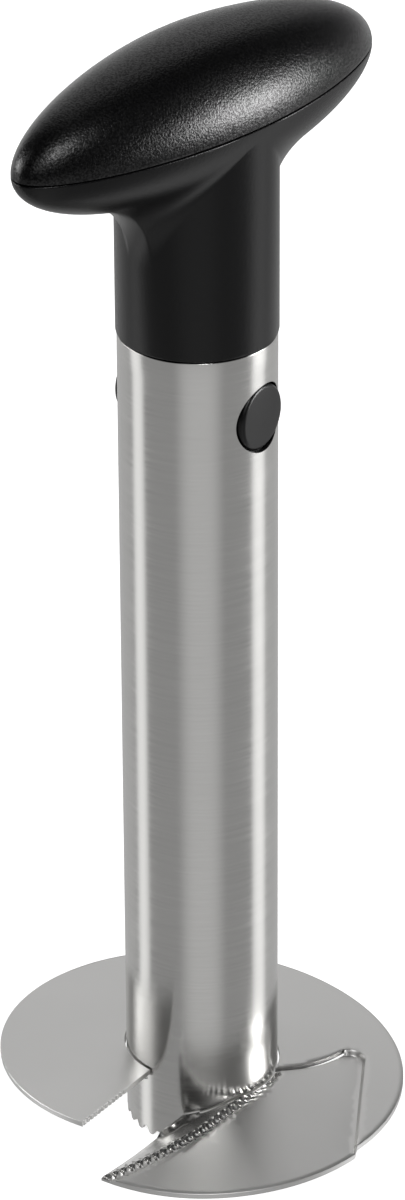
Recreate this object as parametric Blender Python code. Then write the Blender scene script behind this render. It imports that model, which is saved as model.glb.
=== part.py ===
"""Pineapple slicer: a toothed steel tube with a helical slicing blade and a locking lift-off handle.

Units are metres, +Z is up. The origin is on the tube's axis, at the level of its foot. The two
release buttons slide along X, and the grip's long side runs almost along Y.
"""

import math

import bmesh
import bpy
from mathutils import Vector
from mathutils.geometry import delaunay_2d_cdt

# General clearances
SEAT_GAP = 0.0003        # between pieces that rest on each other
SLIDE_GAP = 0.0003       # around the sliding buttons
CUT_OVERRUN = 0.001      # how far a cutter runs past the face that it cuts
SHARP_EDGE_DEG = 35      # edges that turn more than this are shaded sharp

# Core tube
TUBE_RADIUS = 0.016
TUBE_WALL = 0.0008
TUBE_LENGTH = 0.1835
FOOT_TOOTH_COUNT = 29
FOOT_TOOTH_DEPTH = 0.0014
COLUMNS_PER_FOOT_TOOTH = 4

# Slicing blade: a slit ring, dished up towards the tube and climbing around it
BLADE_RADIUS = 0.0427
BLADE_THICKNESS = 0.0012
BLADE_BORE_GAP = 0.00035
BLADE_RIM_LOW = 0.0078       # top of the rim where the climb starts
BLADE_RIM_HIGH = 0.0188      # top of the rim at the trailing tip
BLADE_BORE_LOW = 0.01205     # top of the bore's edge where its climb starts
BLADE_BORE_HIGH = 0.0166     # top of the bore's edge behind the tube
RIM_CLIMB_START_DEG = 65
BORE_CLIMB_START_DEG = 35
BORE_CLIMB_END_DEG = 215
CLIMB_EASE_DEG = 25
TRAIL_INNER_DEG = 263
TRAIL_OUTER_DEG = 269.6
TRAIL_NOTCH_PITCH = 0.0014
TRAIL_NOTCH_DEPTH = 0.00025
TRAIL_NOTCHED_SHARE = 0.62   # of the trailing end, from its tip

# The cutting tongue, pressed down out of the ring
TONGUE_DROP_RIM = 0.0017
TONGUE_DROP_BORE = 0.0005
TONGUE_BEND_WIDTH = 0.0026
TONGUE_CORNER_RADIUS = 0.003
TONGUE_TIP_DEG = -84.5
EDGE_INNER_DEG = -70         # where the straight cutting edge meets the bore
TONGUE_TIP_LIFT = 0.0009
TONGUE_LIFT_START_DEG = -51
BEND_RIM_DEG = -6
BEND_TOP_DEG = 41.9
BEND_TOP_RADIUS = 0.0353
SLIT_START_DEG = 16.5
SLIT_AIM_DEG = 46.3          # the slit runs towards this place and ends at the bend's corner
SLIT_AIM_RADIUS = 0.0329
SLIT_BOW = 0.0015
SLIT_WIDTH = 0.0005

# Ground edge of the tongue: a band of flutes leads down to a bevel with a straight cutting edge
FLUTES_LEAVE_TUBE_DEG = 0.5
FLUTE_BOW_RADIUS = 0.086
FLUTE_TUBE_GAP = 0.0004
FLUTE_PITCH = 0.0019
FLUTE_REACH = 0.0011         # half of the band's width, in the middle of a flute
FLUTE_RIDGE_SHARE = 0.65     # of the reach, on the ridges between the flutes
FLUTE_HOLLOW = 0.0003        # depth of a flute below its ridges
FLUTE_DROP = 0.0004          # from the tongue's top to the bevel
MIDDLE_POINTS_PER_FLUTE = 4
RIM_POINTS_PER_FLUTE = 2
LIP_TURN_DEG = 26            # how far the tongue turns down beyond the flutes
BEVEL_WIDTH = 0.0056         # over which the bevel thins to the edge
EDGE_THICKNESS = 0.0003

# Triangulation of the blade
BLADE_STEP_DEG = 5
BLADE_GRID_RINGS = 4
BLADE_GRID_SPACING = 0.0024
BEND_CORNER_STEPS = 6
BEND_GUIDE_SHARES = (0, 0.35, 0.65, 1)
GUIDE_CLEARANCE = 0.0004     # of the guide lines from the outline

# Weld tacks under the blade
TACK_LENGTH = 0.005
TACK_WIDTH = 0.0014
TACK_HEIGHT = 0.0011
TACK_DEGREES = (77, 142, 207, 254)
TACK_ROW_SHARES = ((0, -0.5), (0.35, -0.42), (0.5, 0), (0.35, 0.42), (0, 0.5))  # width, height
TACK_SIDES = 12

# Handle: neck and grip
NECK_RADIUS = 0.01625
NECK_BORE_RADIUS = 0.0123
NECK_CHAMFER = 0.0004
GRIP_TURN_DEG = -8            # of the grip's long side from Y
SEAM_HEIGHT = 0.0476         # of the grip's parting line above the tube's top
GRIP_HALF_LENGTH = 0.049
GRIP_HALF_WIDTH = 0.0166
GRIP_CROWN = 0.0165          # height of the cover above the parting line
GRIP_BELLY = 0.0154          # depth of the base below the parting line
GRIP_TIP_SLIM_SHARE = 0.16   # how much leaner than an ellipse the plan is at its tips
DOME_POWER_SHARE = 0.53
INNER_DOME_SHARES = (0.95, 0.8, 0.5)
OUTLINE_HALVINGS = 40        # steps of the search for the outline's radius
NECK_FILLET = 0.013
NECK_FILLET_DROP_SHARE = 1.1
SEAM_BREAK = 0.0003
SHELL_WALL = 0.0024
LIP_LENGTH = 0.0018
LIP_WALL = 0.0012
LEDGE_WIDTH = 0.0018
POCKET_DEPTH = 0.005
FLOOR_THICKNESS = 0.0035
GRIP_COLUMNS = 60
FILLET_ROWS = 5
BELLY_ROWS = 6
CROWN_ROWS = 8

# Screws
HANDLE_SCREW_RADIUS = 0.002
HANDLE_SCREW_GRIP = 0.012    # length held by the boss in the neck
HANDLE_SCREW_HEAD_RADIUS = 0.0036
HANDLE_SCREW_HEAD_HEIGHT = 0.0022
HANDLE_BOSS_RADIUS = 0.0045
COVER_SCREW_RADIUS = 0.0012
COVER_SCREW_LENGTH = 0.010
COVER_SCREW_HEAD_RADIUS = 0.0024
COVER_SCREW_HEAD_HEIGHT = 0.0016
COVER_SCREW_SPREAD = 0.0085  # from the axis to each screw
COVER_BOSS_RADIUS = 0.003
COVER_BOSS_GAP = 0.0009      # over the base's floor
SOCKET_SHARE = 0.5           # of a screw head's radius and height
SCREW_SIDES = 16
SOCKET_SIDES = 6
HEAD_ROUND_SHARES = (0.8, 0.7)  # radius and height where a head's rounding starts and ends
TIP_SHARE = 0.5              # of a screw's radius, at its tip

# Release buttons
BUTTON_DEPTH_BELOW_TOP = 0.0152
BUTTON_RADIUS = 0.0069
BUTTON_HOLE_GAP = 0.0004
BUTTON_CROWN_RADIUS = 0.0160  # from the tube's axis to the crown of the button's face
BUTTON_FACE_FALL = 0.0003
BUTTON_EDGE_ROUNDING = 0.0009
BUTTON_FLANGE_RADIUS = 0.0083
BUTTON_FLANGE_THICKNESS = 0.0015
BUTTON_TRAVEL = 0.0028       # until the flange meets the pillar between the buttons
BUTTON_SIDES = 28
BUTTON_FACE_SHARES = (0.5, 0.85, 1)
BUTTON_ROUNDING_STEPS = 3
SPRING_POCKET_RADIUS = 0.0036
BUTTON_FACE_THICKNESS = 0.003

# Locking plug under the handle
PLUG_RADIUS_GAP = 0.00025
PLUG_BELOW_BUTTON = 0.012
PLUG_SPIGOT_LENGTH = 0.006
PLUG_CAVITY_HALF_X = 0.0108
PLUG_CAVITY_HALF_Y = 0.0088
PLUG_CAVITY_ABOVE_BUTTON = 0.0089
PLUG_SIDES = 40
CAP_DISC_THICKNESS = 0.003
CAP_REGISTER_HEIGHT = 0.0015
PILLAR_HALF_Y = 0.0045
PILLAR_ABOVE_BUTTON = 0.0075
SPRING_SPIGOT_RADIUS = 0.0017
SPRING_SPIGOT_LENGTH = 0.002

# Springs behind the buttons
SPRING_WIRE_RADIUS = 0.0003
SPRING_COIL_RADIUS = 0.0026
SPRING_TURNS = 5
SPRING_POINTS_PER_TURN = 8
SPRING_END_CLOSING_SHARE = 0.06  # how much closer the end turns lie

# Places worked out from the sizes
TUBE_BORE_RADIUS = TUBE_RADIUS - TUBE_WALL
BLADE_BORE_RADIUS = TUBE_RADIUS + BLADE_BORE_GAP
FLUTE_TUBE_RADIUS = TUBE_RADIUS + FLUTE_TUBE_GAP
NECK_BOTTOM = TUBE_LENGTH + SEAT_GAP
SEAM_LEVEL = TUBE_LENGTH + SEAM_HEIGHT
COVER_LEVEL = SEAM_LEVEL + SEAT_GAP
RECESS_LEVEL = SEAM_LEVEL - LIP_LENGTH - SEAT_GAP
FLOOR_TOP = RECESS_LEVEL - POCKET_DEPTH
FLOOR_UNDER = FLOOR_TOP - FLOOR_THICKNESS
BUTTON_LEVEL = TUBE_LENGTH - BUTTON_DEPTH_BELOW_TOP
PLUG_RADIUS = TUBE_BORE_RADIUS - PLUG_RADIUS_GAP
PLUG_BOTTOM = BUTTON_LEVEL - PLUG_BELOW_BUTTON
PLUG_SHOULDER = NECK_BOTTOM - SEAT_GAP
PLUG_TOP = NECK_BOTTOM + PLUG_SPIGOT_LENGTH
BOSS_BOTTOM = PLUG_TOP + SEAT_GAP
CAP_TOP = PLUG_BOTTOM - SEAT_GAP
CAP_BOTTOM = CAP_TOP - CAP_DISC_THICKNESS
FLANGE_FACE = PLUG_CAVITY_HALF_X - SEAT_GAP
FLANGE_BACK = FLANGE_FACE - BUTTON_FLANGE_THICKNESS
PILLAR_HALF_X = FLANGE_BACK - BUTTON_TRAVEL - SEAT_GAP
SPRING_INNER_END = PILLAR_HALF_X + SEAT_GAP
SPRING_OUTER_END = BUTTON_CROWN_RADIUS - BUTTON_FACE_THICKNESS - SEAT_GAP


def clear_scene():
    for item in list(bpy.data.objects):
        bpy.data.objects.remove(item, do_unlink=True)


def make_material(name, color, metallic, roughness):
    material = bpy.data.materials.new(name)
    material.use_nodes = True
    shader = material.node_tree.nodes["Principled BSDF"]
    shader.inputs["Base Color"].default_value = (*color, 1)
    shader.inputs["Metallic"].default_value = metallic
    shader.inputs["Roughness"].default_value = roughness
    return material


def add_object(name, data, material):
    item = bpy.data.objects.new(name, data)
    bpy.context.scene.collection.objects.link(item)
    item.data.materials.append(material)
    return item


def mesh_object(name, verts, faces, material):
    """Makes an object from points and faces, with its faces pointing out and shaded smooth."""
    mesh = bpy.data.meshes.new(name)
    shape = bmesh.new()
    points = [shape.verts.new(v) for v in verts]
    for face in faces:
        shape.faces.new([points[i] for i in face])
    bmesh.ops.recalc_face_normals(shape, faces=shape.faces)
    if shape.calc_volume(signed=True) < 0:
        bmesh.ops.reverse_faces(shape, faces=shape.faces)
    shape.to_mesh(mesh)
    shape.free()
    mesh.shade_smooth()
    mesh.set_sharp_from_angle(angle=math.radians(SHARP_EDGE_DEG))
    return add_object(name, mesh, material)


def loft(rings, poles=False):
    """Joins rings of points, each with the same count. Poles: the first and last are single points."""
    inner = rings[1:-1] if poles else rings
    count = len(inner[0])
    verts = [point for ring in inner for point in ring]
    faces = []
    for row in range(len(inner) - 1):
        for i in range(count):
            j = (i + 1) % count
            faces.append((row * count + i, row * count + j, (row + 1) * count + j, (row + 1) * count + i))
    if poles:
        first, last = len(verts), len(verts) + 1
        verts += [rings[0][0], rings[-1][0]]
        tail = (len(inner) - 1) * count
        for i in range(count):
            j = (i + 1) % count
            faces.append((first, j, i))
            faces.append((last, tail + i, tail + j))
    else:
        tail = (len(inner) - 1) * count
        for i in range(count):
            j = (i + 1) % count
            faces.append((i, j, tail + j, tail + i))
    return verts, faces


def turned(name, profile, sides, material):
    """Turns (radius, height) points around Z. A profile that starts and ends on the axis is capped."""
    on_axis = profile[0][0] == 0 and profile[-1][0] == 0
    rings = []
    for radius, height in profile:
        if radius == 0:
            rings.append([(0, 0, height)])
            continue
        ring = []
        for i in range(sides):
            angle = 2 * math.pi * i / sides
            ring.append((radius * math.cos(angle), radius * math.sin(angle), height))
        rings.append(ring)
    verts, faces = loft(rings, poles=on_axis)
    return mesh_object(name, verts, faces, material)


def cylinder_cutter(name, radius, low, high, sides, center=(0, 0), material=None):
    item = turned(name, [(0, low), (radius, low), (radius, high), (0, high)], sides, material)
    item.location = (*center, 0)
    return item


def box_shape(name, low, high, material):
    corners = [(x, y, z) for x in (low[0], high[0]) for y in (low[1], high[1]) for z in (low[2], high[2])]
    faces = ((0, 1, 3, 2), (4, 6, 7, 5), (0, 4, 5, 1), (2, 3, 7, 6), (0, 2, 6, 4), (1, 5, 7, 3))
    return mesh_object(name, corners, faces, material)


def combine(item, tool, operation):
    """Adds a Boolean that cuts with, or joins, a hidden tool object."""
    tool.hide_render = True
    tool.display_type = "WIRE"
    step = item.modifiers.new(tool.name, "BOOLEAN")
    step.operation = operation
    step.solver = "EXACT"
    step.object = tool


def side_cylinder(name, radius, low, high, sides, level, material):
    """A cylinder along X between two places, at a level above the foot."""
    item = turned(name, [(0, low), (radius, low), (radius, high), (0, high)], sides, material)
    item.rotation_euler = (0, math.pi / 2, 0)
    item.location = (0, 0, level)
    return item


# Core tube

def tube_ring(radius, level_at):
    columns = FOOT_TOOTH_COUNT * COLUMNS_PER_FOOT_TOOTH
    ring = []
    for i in range(columns):
        angle = 2 * math.pi * i / columns
        ring.append((radius * math.cos(angle), radius * math.sin(angle), level_at(i)))
    return ring


def make_core_tube(steel):
    def foot_level(column):
        in_gullet = column % COLUMNS_PER_FOOT_TOOTH >= COLUMNS_PER_FOOT_TOOTH // 2
        return FOOT_TOOTH_DEPTH if in_gullet else 0

    def above_teeth(column):
        return 2 * FOOT_TOOTH_DEPTH

    def top_level(column):
        return TUBE_LENGTH

    rings = [tube_ring(TUBE_BORE_RADIUS, foot_level), tube_ring(TUBE_RADIUS, foot_level),
             tube_ring(TUBE_RADIUS, above_teeth), tube_ring(TUBE_RADIUS, top_level),
             tube_ring(TUBE_BORE_RADIUS, top_level)]
    tube = mesh_object("core_tube", *loft(rings), steel)
    reach = TUBE_RADIUS + CUT_OVERRUN
    holes = side_cylinder("button_holes", BUTTON_RADIUS + BUTTON_HOLE_GAP, -reach, reach, BUTTON_SIDES,
                          BUTTON_LEVEL, steel)
    combine(tube, holes, "DIFFERENCE")


# Slicing blade

def polar(radius, degrees):
    angle = math.radians(degrees)
    return Vector((radius * math.cos(angle), radius * math.sin(angle)))


def turned_degrees(point):
    """The point's direction in degrees, counted up from the tongue's tip and around the ring."""
    start = (TONGUE_TIP_DEG + TRAIL_OUTER_DEG - 360) / 2
    degrees = math.degrees(math.atan2(point.y, point.x))
    return degrees + 360 if degrees < start else degrees


def eased(value, start):
    """How far a value has passed a start, with a soft beginning."""
    passed = value - start + CLIMB_EASE_DEG
    if passed <= 0:
        return 0
    if passed < 2 * CLIMB_EASE_DEG:
        return passed * passed / (4 * CLIMB_EASE_DEG)
    return value - start


def smooth_step(share):
    share = min(max(share, 0), 1)
    return share * share * (3 - 2 * share)


def ring_top(point):
    """Top of the slit ring, without the tongue's drop: straight from the bore's edge to the rim."""
    degrees = turned_degrees(point)
    rim_share = eased(degrees, RIM_CLIMB_START_DEG) / (TRAIL_OUTER_DEG - RIM_CLIMB_START_DEG)
    bore_degrees = eased(degrees, BORE_CLIMB_START_DEG) - eased(degrees, BORE_CLIMB_END_DEG)
    bore_share = bore_degrees / (BORE_CLIMB_END_DEG - BORE_CLIMB_START_DEG)
    rim = BLADE_RIM_LOW + rim_share * (BLADE_RIM_HIGH - BLADE_RIM_LOW)
    bore = BLADE_BORE_LOW + bore_share * (BLADE_BORE_HIGH - BLADE_BORE_LOW)
    outward = (point.length - BLADE_BORE_RADIUS) / (BLADE_RADIUS - BLADE_BORE_RADIUS)
    return bore + outward * (rim - bore)


def turned_left(way):
    return Vector((-way.y, way.x))


def crossed(first, second):
    return first.x * second.y - first.y * second.x


def gap_to_line(point, line):
    """Distance from a point to the nearest place on a row of straight pieces."""
    best = BLADE_RADIUS
    for a, b in zip(line, line[1:]):
        way = b - a
        share = min(max((point - a).dot(way) / way.dot(way), 0), 1)
        best = min(best, (point - a - way * share).length)
    return best


def bend_frame():
    """Where the bend and the slit start, and the directions in which they run."""
    bend_rim = polar(BLADE_RADIUS, BEND_RIM_DEG)
    bend_way = (polar(BEND_TOP_RADIUS, BEND_TOP_DEG) - bend_rim).normalized()
    slit_start = polar(BLADE_BORE_RADIUS, SLIT_START_DEG)
    slit_way = (polar(SLIT_AIM_RADIUS, SLIT_AIM_DEG) - slit_start).normalized()
    return bend_rim, bend_way, slit_start, slit_way


def corner_center():
    """Middle of the rounded corner where the bend's line and the slit's line meet."""
    bend_rim, bend_way, slit_start, slit_way = bend_frame()
    corner = bend_rim + bend_way * (crossed(slit_start - bend_rim, slit_way) / crossed(bend_way, slit_way))
    back = TONGUE_CORNER_RADIUS / math.tan(math.acos(bend_way.dot(slit_way)) / 2)
    return corner - bend_way * back + turned_left(bend_way) * TONGUE_CORNER_RADIUS


def slit_length():
    bend_rim, bend_way, slit_start, slit_way = bend_frame()
    return (corner_center() - slit_start).dot(slit_way)


def slit_bow(along):
    """How far the slit bows into the tongue, at a distance from its start."""
    share = min(max(along / slit_length(), 0), 1)
    return SLIT_BOW * 4 * share * (1 - share)


def slit_spot(back, side):
    """A place so far back from the slit's end, on its ring side (1), its tongue side (-1) or between."""
    bend_rim, bend_way, slit_start, slit_way = bend_frame()
    along = slit_length() - back
    return slit_start + slit_way * along + turned_left(slit_way) * (side * SLIT_WIDTH / 2 - slit_bow(along))


def bend_start(inset):
    """Where the bend's line, drawn in by an inset, meets the rim."""
    bend_rim, bend_way, slit_start, slit_way = bend_frame()
    start = bend_rim + turned_left(bend_way) * inset
    along = start.dot(bend_way)
    return start - bend_way * (along + math.sqrt(along * along - start.dot(start) + BLADE_RADIUS ** 2))


def bend_corner(inset):
    """Points around the bend's corner, drawn in by an inset, up to the slit."""
    bend_rim, bend_way, slit_start, slit_way = bend_frame()
    turn = math.acos(bend_way.dot(-slit_way))
    points = []
    for i in range(BEND_CORNER_STEPS):
        angle = turn * i / BEND_CORNER_STEPS
        way = bend_way * math.sin(angle) - turned_left(bend_way) * math.cos(angle)
        points.append(corner_center() + way * (TONGUE_CORNER_RADIUS - inset))
    if inset == 0:
        return points + [slit_spot(-SLIT_WIDTH / 2, 0)]
    end = slit_spot(0, 0)
    away = -turned_left(slit_way) * inset
    return points + [end + away, end + (away - slit_way * inset) / math.sqrt(2), slit_spot(inset, -1)]


def bend_curve(inset):
    """Points along the bend from the rim to the slit, drawn in by an inset."""
    start = bend_start(inset)
    corner = bend_corner(inset)
    return [start] + spaced(start, corner[0], BLADE_GRID_SPACING) + corner


def bend_distance(point, curve):
    """Distance from the bend's outer line, counted inward on the tongue; zero on the ring."""
    bend_rim, bend_way, slit_start, slit_way = bend_frame()
    inside_bend = (point - bend_rim).dot(turned_left(bend_way)) > 0
    from_slit = point - slit_start
    inside_slit = from_slit.dot(turned_left(slit_way)) < -slit_bow(from_slit.dot(slit_way))
    if turned_degrees(point) > TRAIL_INNER_DEG - 180 or not inside_bend or not inside_slit:
        return 0
    from_center = point - corner_center()
    if from_center.dot(bend_way) > 0 and from_center.dot(slit_way) > 0:
        return max(TONGUE_CORNER_RADIUS - from_center.length, 0)
    return gap_to_line(point, curve)


def blade_top(point, curve):
    """Top of the blade anywhere: the ring's level, the tongue's drop, its lifted tip and its lip."""
    outward = (point.length - BLADE_BORE_RADIUS) / (BLADE_RADIUS - BLADE_BORE_RADIUS)
    full_drop = TONGUE_DROP_BORE + outward * (TONGUE_DROP_RIM - TONGUE_DROP_BORE)
    drop = full_drop * smooth_step(bend_distance(point, curve) / TONGUE_BEND_WIDTH)
    degrees = turned_degrees(point)
    lift_share = max(0, TONGUE_LIFT_START_DEG - degrees) / (TONGUE_LIFT_START_DEG - TONGUE_TIP_DEG)
    beyond, travelled = beside_flutes(point)
    lip = math.tan(math.radians(LIP_TURN_DEG)) * max(beyond - FLUTE_REACH, 0) if travelled > 0 else 0
    return ring_top(point) - drop + TONGUE_TIP_LIFT * lift_share * lift_share - lip


def flute_bow_center():
    return polar(FLUTE_TUBE_RADIUS - FLUTE_BOW_RADIUS, FLUTES_LEAVE_TUBE_DEG)


def flute_spot(travelled):
    """A place on the line of flutes, so far from the slit, and the way into the tongue there."""
    around = math.radians(SLIT_START_DEG - FLUTES_LEAVE_TUBE_DEG) * FLUTE_TUBE_RADIUS
    if travelled < around:
        inward = polar(1, SLIT_START_DEG - math.degrees(travelled / FLUTE_TUBE_RADIUS))
        return inward * FLUTE_TUBE_RADIUS, inward
    inward = polar(1, FLUTES_LEAVE_TUBE_DEG - math.degrees((travelled - around) / FLUTE_BOW_RADIUS))
    return flute_bow_center() + inward * FLUTE_BOW_RADIUS, inward


def beside_flutes(point):
    """How far a point lies beyond the line of flutes, towards the edge, and its place along it."""
    if turned_degrees(point) > FLUTES_LEAVE_TUBE_DEG:
        travelled = math.radians(SLIT_START_DEG - turned_degrees(point)) * FLUTE_TUBE_RADIUS
        return FLUTE_TUBE_RADIUS - point.length, travelled
    around = math.radians(SLIT_START_DEG - FLUTES_LEAVE_TUBE_DEG) * FLUTE_TUBE_RADIUS
    way = point - flute_bow_center()
    bowed = math.radians(FLUTES_LEAVE_TUBE_DEG) - math.atan2(way.y, way.x)
    return FLUTE_BOW_RADIUS - way.length, around + bowed * FLUTE_BOW_RADIUS


def flute_share(travelled):
    """1 in the middle of a flute and 0 on the ridges between the flutes."""
    return abs(math.sin(math.pi * travelled / FLUTE_PITCH))


def flute_reach(travelled):
    """Half of the band's width at a place along it."""
    return FLUTE_REACH * (FLUTE_RIDGE_SHARE + (1 - FLUTE_RIDGE_SHARE) * flute_share(travelled))


def flute_line(side, points_per_flute):
    """Points along the flutes, on the tongue's side (-1), in the middle (0) or on the bevel's side (1)."""
    spacing = FLUTE_PITCH / points_per_flute
    points = []
    while not points or points[-1].length < BLADE_RADIUS - spacing:
        travelled = len(points) * spacing
        place, inward = flute_spot(travelled)
        points.append(place - inward * (flute_reach(travelled) * side))
    return points[:-1]


def ground_drop(point):
    """How far the flutes and the bevel lie under the tongue's top, which is nothing elsewhere."""
    beyond, travelled = beside_flutes(point)
    reach = flute_reach(travelled)
    if travelled < 0 or beyond <= -reach:
        return 0
    across = min((beyond + reach) / (2 * reach), 1)
    hollow = FLUTE_HOLLOW * flute_share(travelled) * 4 * across * (1 - across)
    bevel_share = min(max((beyond - FLUTE_REACH) / (BEVEL_WIDTH - FLUTE_REACH), 0), 1)
    return FLUTE_DROP * across + hollow + bevel_share * (BLADE_THICKNESS - EDGE_THICKNESS - FLUTE_DROP)


def rim_arc(radius, start, end):
    """Points on a circle, spaced by about one step of the blade's columns."""
    steps = max(1, round(abs(end - start) / BLADE_STEP_DEG))
    return [polar(radius, start + (end - start) * i / steps) for i in range(steps + 1)]


def spaced(start, end, spacing):
    """Points on a straight line, without its two ends."""
    steps = round((end - start).length / spacing)
    return [start.lerp(end, i / steps) for i in range(1, steps)]


def trailing_end():
    """The ring's trailing end, from its tip inwards, with small notches in its outer part."""
    tip = polar(BLADE_RADIUS, TRAIL_OUTER_DEG)
    inner = polar(BLADE_BORE_RADIUS, TRAIL_INNER_DEG)
    into_ring = turned_left((tip - inner).normalized()) * -TRAIL_NOTCH_DEPTH
    line = spaced(tip, inner, TRAIL_NOTCH_PITCH / 2)
    notched = round(len(line) * TRAIL_NOTCHED_SHARE)
    return [p + into_ring if i < notched and i % 2 else p for i, p in enumerate(line)]


def blade_rim():
    """The rim from the tongue's tip to the trailing end, with points where the bend's lines meet it."""
    meets = [bend_start(TONGUE_BEND_WIDTH * share) for share in reversed(BEND_GUIDE_SHARES)]
    tongue_rim = rim_arc(BLADE_RADIUS, TONGUE_TIP_DEG, turned_degrees(meets[0]))
    ring_rim = rim_arc(BLADE_RADIUS, turned_degrees(meets[-1]), TRAIL_OUTER_DEG)
    return tongue_rim + meets[1:-1] + ring_rim


def slit_sides():
    """Both sides of the slit, from the bore around its end and back."""
    ring_side = []
    steps = round(slit_length() / BLADE_GRID_SPACING)
    for step in range(steps + 1):
        ring_side.append(slit_spot(slit_length() * (1 - step / steps), 1))
    tongue_side = [slit_spot(TONGUE_BEND_WIDTH * share, -1) for share in BEND_GUIDE_SHARES]
    rest = slit_length() - TONGUE_BEND_WIDTH
    steps = round(rest / BLADE_GRID_SPACING)
    for step in range(1, steps + 1):
        tongue_side.append(slit_spot(TONGUE_BEND_WIDTH + rest * step / steps, -1))
    return [*ring_side, slit_spot(-SLIT_WIDTH / 2, 0), *tongue_side]


def blade_outline():
    """The blade's flat outline, counter-clockwise from the tongue's tip."""
    slit = slit_sides()
    outline = blade_rim() + trailing_end()
    outline += rim_arc(BLADE_BORE_RADIUS, TRAIL_INNER_DEG, turned_degrees(slit[0]))[:-1] + slit
    outline += rim_arc(BLADE_BORE_RADIUS, turned_degrees(slit[-1]), EDGE_INNER_DEG)[1:]
    return outline + spaced(outline[-1], outline[0], BLADE_GRID_SPACING)


def inside(point, outline):
    hit = False
    for a, b in zip(outline, outline[1:] + outline[:1]):
        if (a.y > point.y) != (b.y > point.y):
            if point.x < a.x + (b.x - a.x) * (point.y - a.y) / (b.y - a.y):
                hit = not hit
    return hit


def clear_of(point, outline, lines, gap):
    """Whether a point is inside the outline and keeps its distance from it and from the lines."""
    if not inside(point, outline):
        return False
    return all(gap_to_line(point, line) > gap for line in [outline + outline[:1], *lines])


def blade_guides(outline):
    """Lines along the bend and the flutes, which the triangles follow. The bend's end on the outline."""
    lines = []
    for share in BEND_GUIDE_SHARES:
        line = bend_curve(TONGUE_BEND_WIDTH * share)
        middle = [p for p in line[1:-1] if clear_of(p, outline, [], GUIDE_CLEARANCE)]
        lines.append([line[0], *middle, line[-1]])
    for side in (-1, 0, 1):
        line = flute_line(side, RIM_POINTS_PER_FLUTE if side else MIDDLE_POINTS_PER_FLUTE)
        lines.append([p for p in line if clear_of(p, outline, [], GUIDE_CLEARANCE)])
    return lines


def grid_points(outline, lines):
    """Points between the blade's bore and rim, clear of the outline and of the bend's lines."""
    points = []
    for ring in range(1, BLADE_GRID_RINGS + 1):
        radius = BLADE_BORE_RADIUS + (BLADE_RADIUS - BLADE_BORE_RADIUS) * ring / (BLADE_GRID_RINGS + 1)
        shift = BLADE_STEP_DEG / 2 * (ring % 2)
        arc = rim_arc(radius, TONGUE_TIP_DEG + shift, TRAIL_OUTER_DEG + shift)
        points += [p for p in arc if clear_of(p, outline, lines, BLADE_GRID_SPACING / 2)]
    return points


def blade_plan():
    """The blade's flat points and triangles."""
    outline = blade_outline()
    lines = blade_guides(outline)
    points = list(outline)
    edges = []
    for line in lines:
        edges += [(len(points) + i, len(points) + i + 1) for i in range(len(line) - 1)]
        points += line
    points += grid_points(outline, lines)
    flat = delaunay_2d_cdt(points, edges, [list(range(len(outline)))], 1, SEAT_GAP / 100)
    return flat[0], flat[2]


def sheet_faces(triangles, count):
    """Upper and lower triangles of a sheet, and the walls along its free edges."""
    faces = []
    pairs = set()
    for a, b, c in triangles:
        faces.append((a, b, c))
        faces.append((count + a, count + c, count + b))
        pairs.update(((a, b), (b, c), (c, a)))
    for a, b in sorted(pairs):
        if (b, a) not in pairs:
            faces.append((a, count + a, count + b, b))
    return faces


def make_slicing_blade(steel):
    places, triangles = blade_plan()
    curve = bend_curve(0)
    tops, bottoms = [], []
    for place in places:
        level = blade_top(place, curve)
        tops.append((place.x, place.y, level - ground_drop(place)))
        bottoms.append((place.x, place.y, level - BLADE_THICKNESS))
    mesh_object("slicing_blade", tops + bottoms, sheet_faces(triangles, len(places)), steel)


def make_weld_tacks(steel):
    """Short beads under the blade, in the corner between its bore and the tube."""
    for number, degrees in enumerate(TACK_DEGREES, start=1):
        radius = TUBE_RADIUS + SEAT_GAP + TACK_WIDTH / 2
        place = polar(radius, degrees)
        reach = math.degrees(TACK_LENGTH / radius / 2)
        lowest = min(ring_top(polar(radius, degrees + turn)) for turn in (-reach, reach))
        level = lowest - BLADE_THICKNESS - SEAT_GAP - TACK_HEIGHT / 2
        rings = []
        for width_share, height_share in TACK_ROW_SHARES:
            ring = []
            for i in range(1 if width_share == 0 else TACK_SIDES):
                angle = 2 * math.pi * i / TACK_SIDES
                along = TACK_LENGTH * width_share * math.cos(angle)
                outward = TACK_WIDTH * width_share * math.sin(angle)
                turn = along / radius
                spot = polar(radius + outward, degrees + math.degrees(turn))
                ring.append((spot.x - place.x, spot.y - place.y, TACK_HEIGHT * height_share))
            rings.append(ring)
        tack = mesh_object(f"weld_tack_{number}", *loft(rings, poles=True), steel)
        tack.location = (place.x, place.y, level)


# Handle

def plan_radius(angle, half_length, half_width):
    """Distance from the axis to the grip's lemon-shaped outline in one direction."""
    along, across = abs(math.sin(angle)), abs(math.cos(angle))
    low, high = 0, half_length / max(along, half_width / half_length)
    for _ in range(OUTLINE_HALVINGS):
        middle = (low + high) / 2
        share = middle * along / half_length
        width = 0
        if share < 1:
            width = half_width * math.sqrt(1 - share * share) * (1 - GRIP_TIP_SLIM_SHARE * share * share)
        if middle * across < width:
            low = middle
        else:
            high = middle
    return low


def grip_angles():
    """Column directions, closer together at the grip's tips."""
    stretch = math.sqrt(GRIP_HALF_LENGTH / GRIP_HALF_WIDTH)
    angles = []
    for i in range(GRIP_COLUMNS):
        turn = 2 * math.pi * i / GRIP_COLUMNS
        angles.append(math.atan2(stretch * math.sin(turn), math.cos(turn)))
    return angles


def dome(share):
    """Height of a dome above its rim, as a share, at a share of the way out."""
    return (1 - min(share, 1) ** 2) ** DOME_POWER_SHARE


def grip_ring(radii, levels):
    ring = []
    turn = math.radians(GRIP_TURN_DEG)
    for angle, radius, level in zip(grip_angles(), radii, levels):
        ring.append((radius * math.cos(angle + turn), radius * math.sin(angle + turn), level))
    return ring


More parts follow.
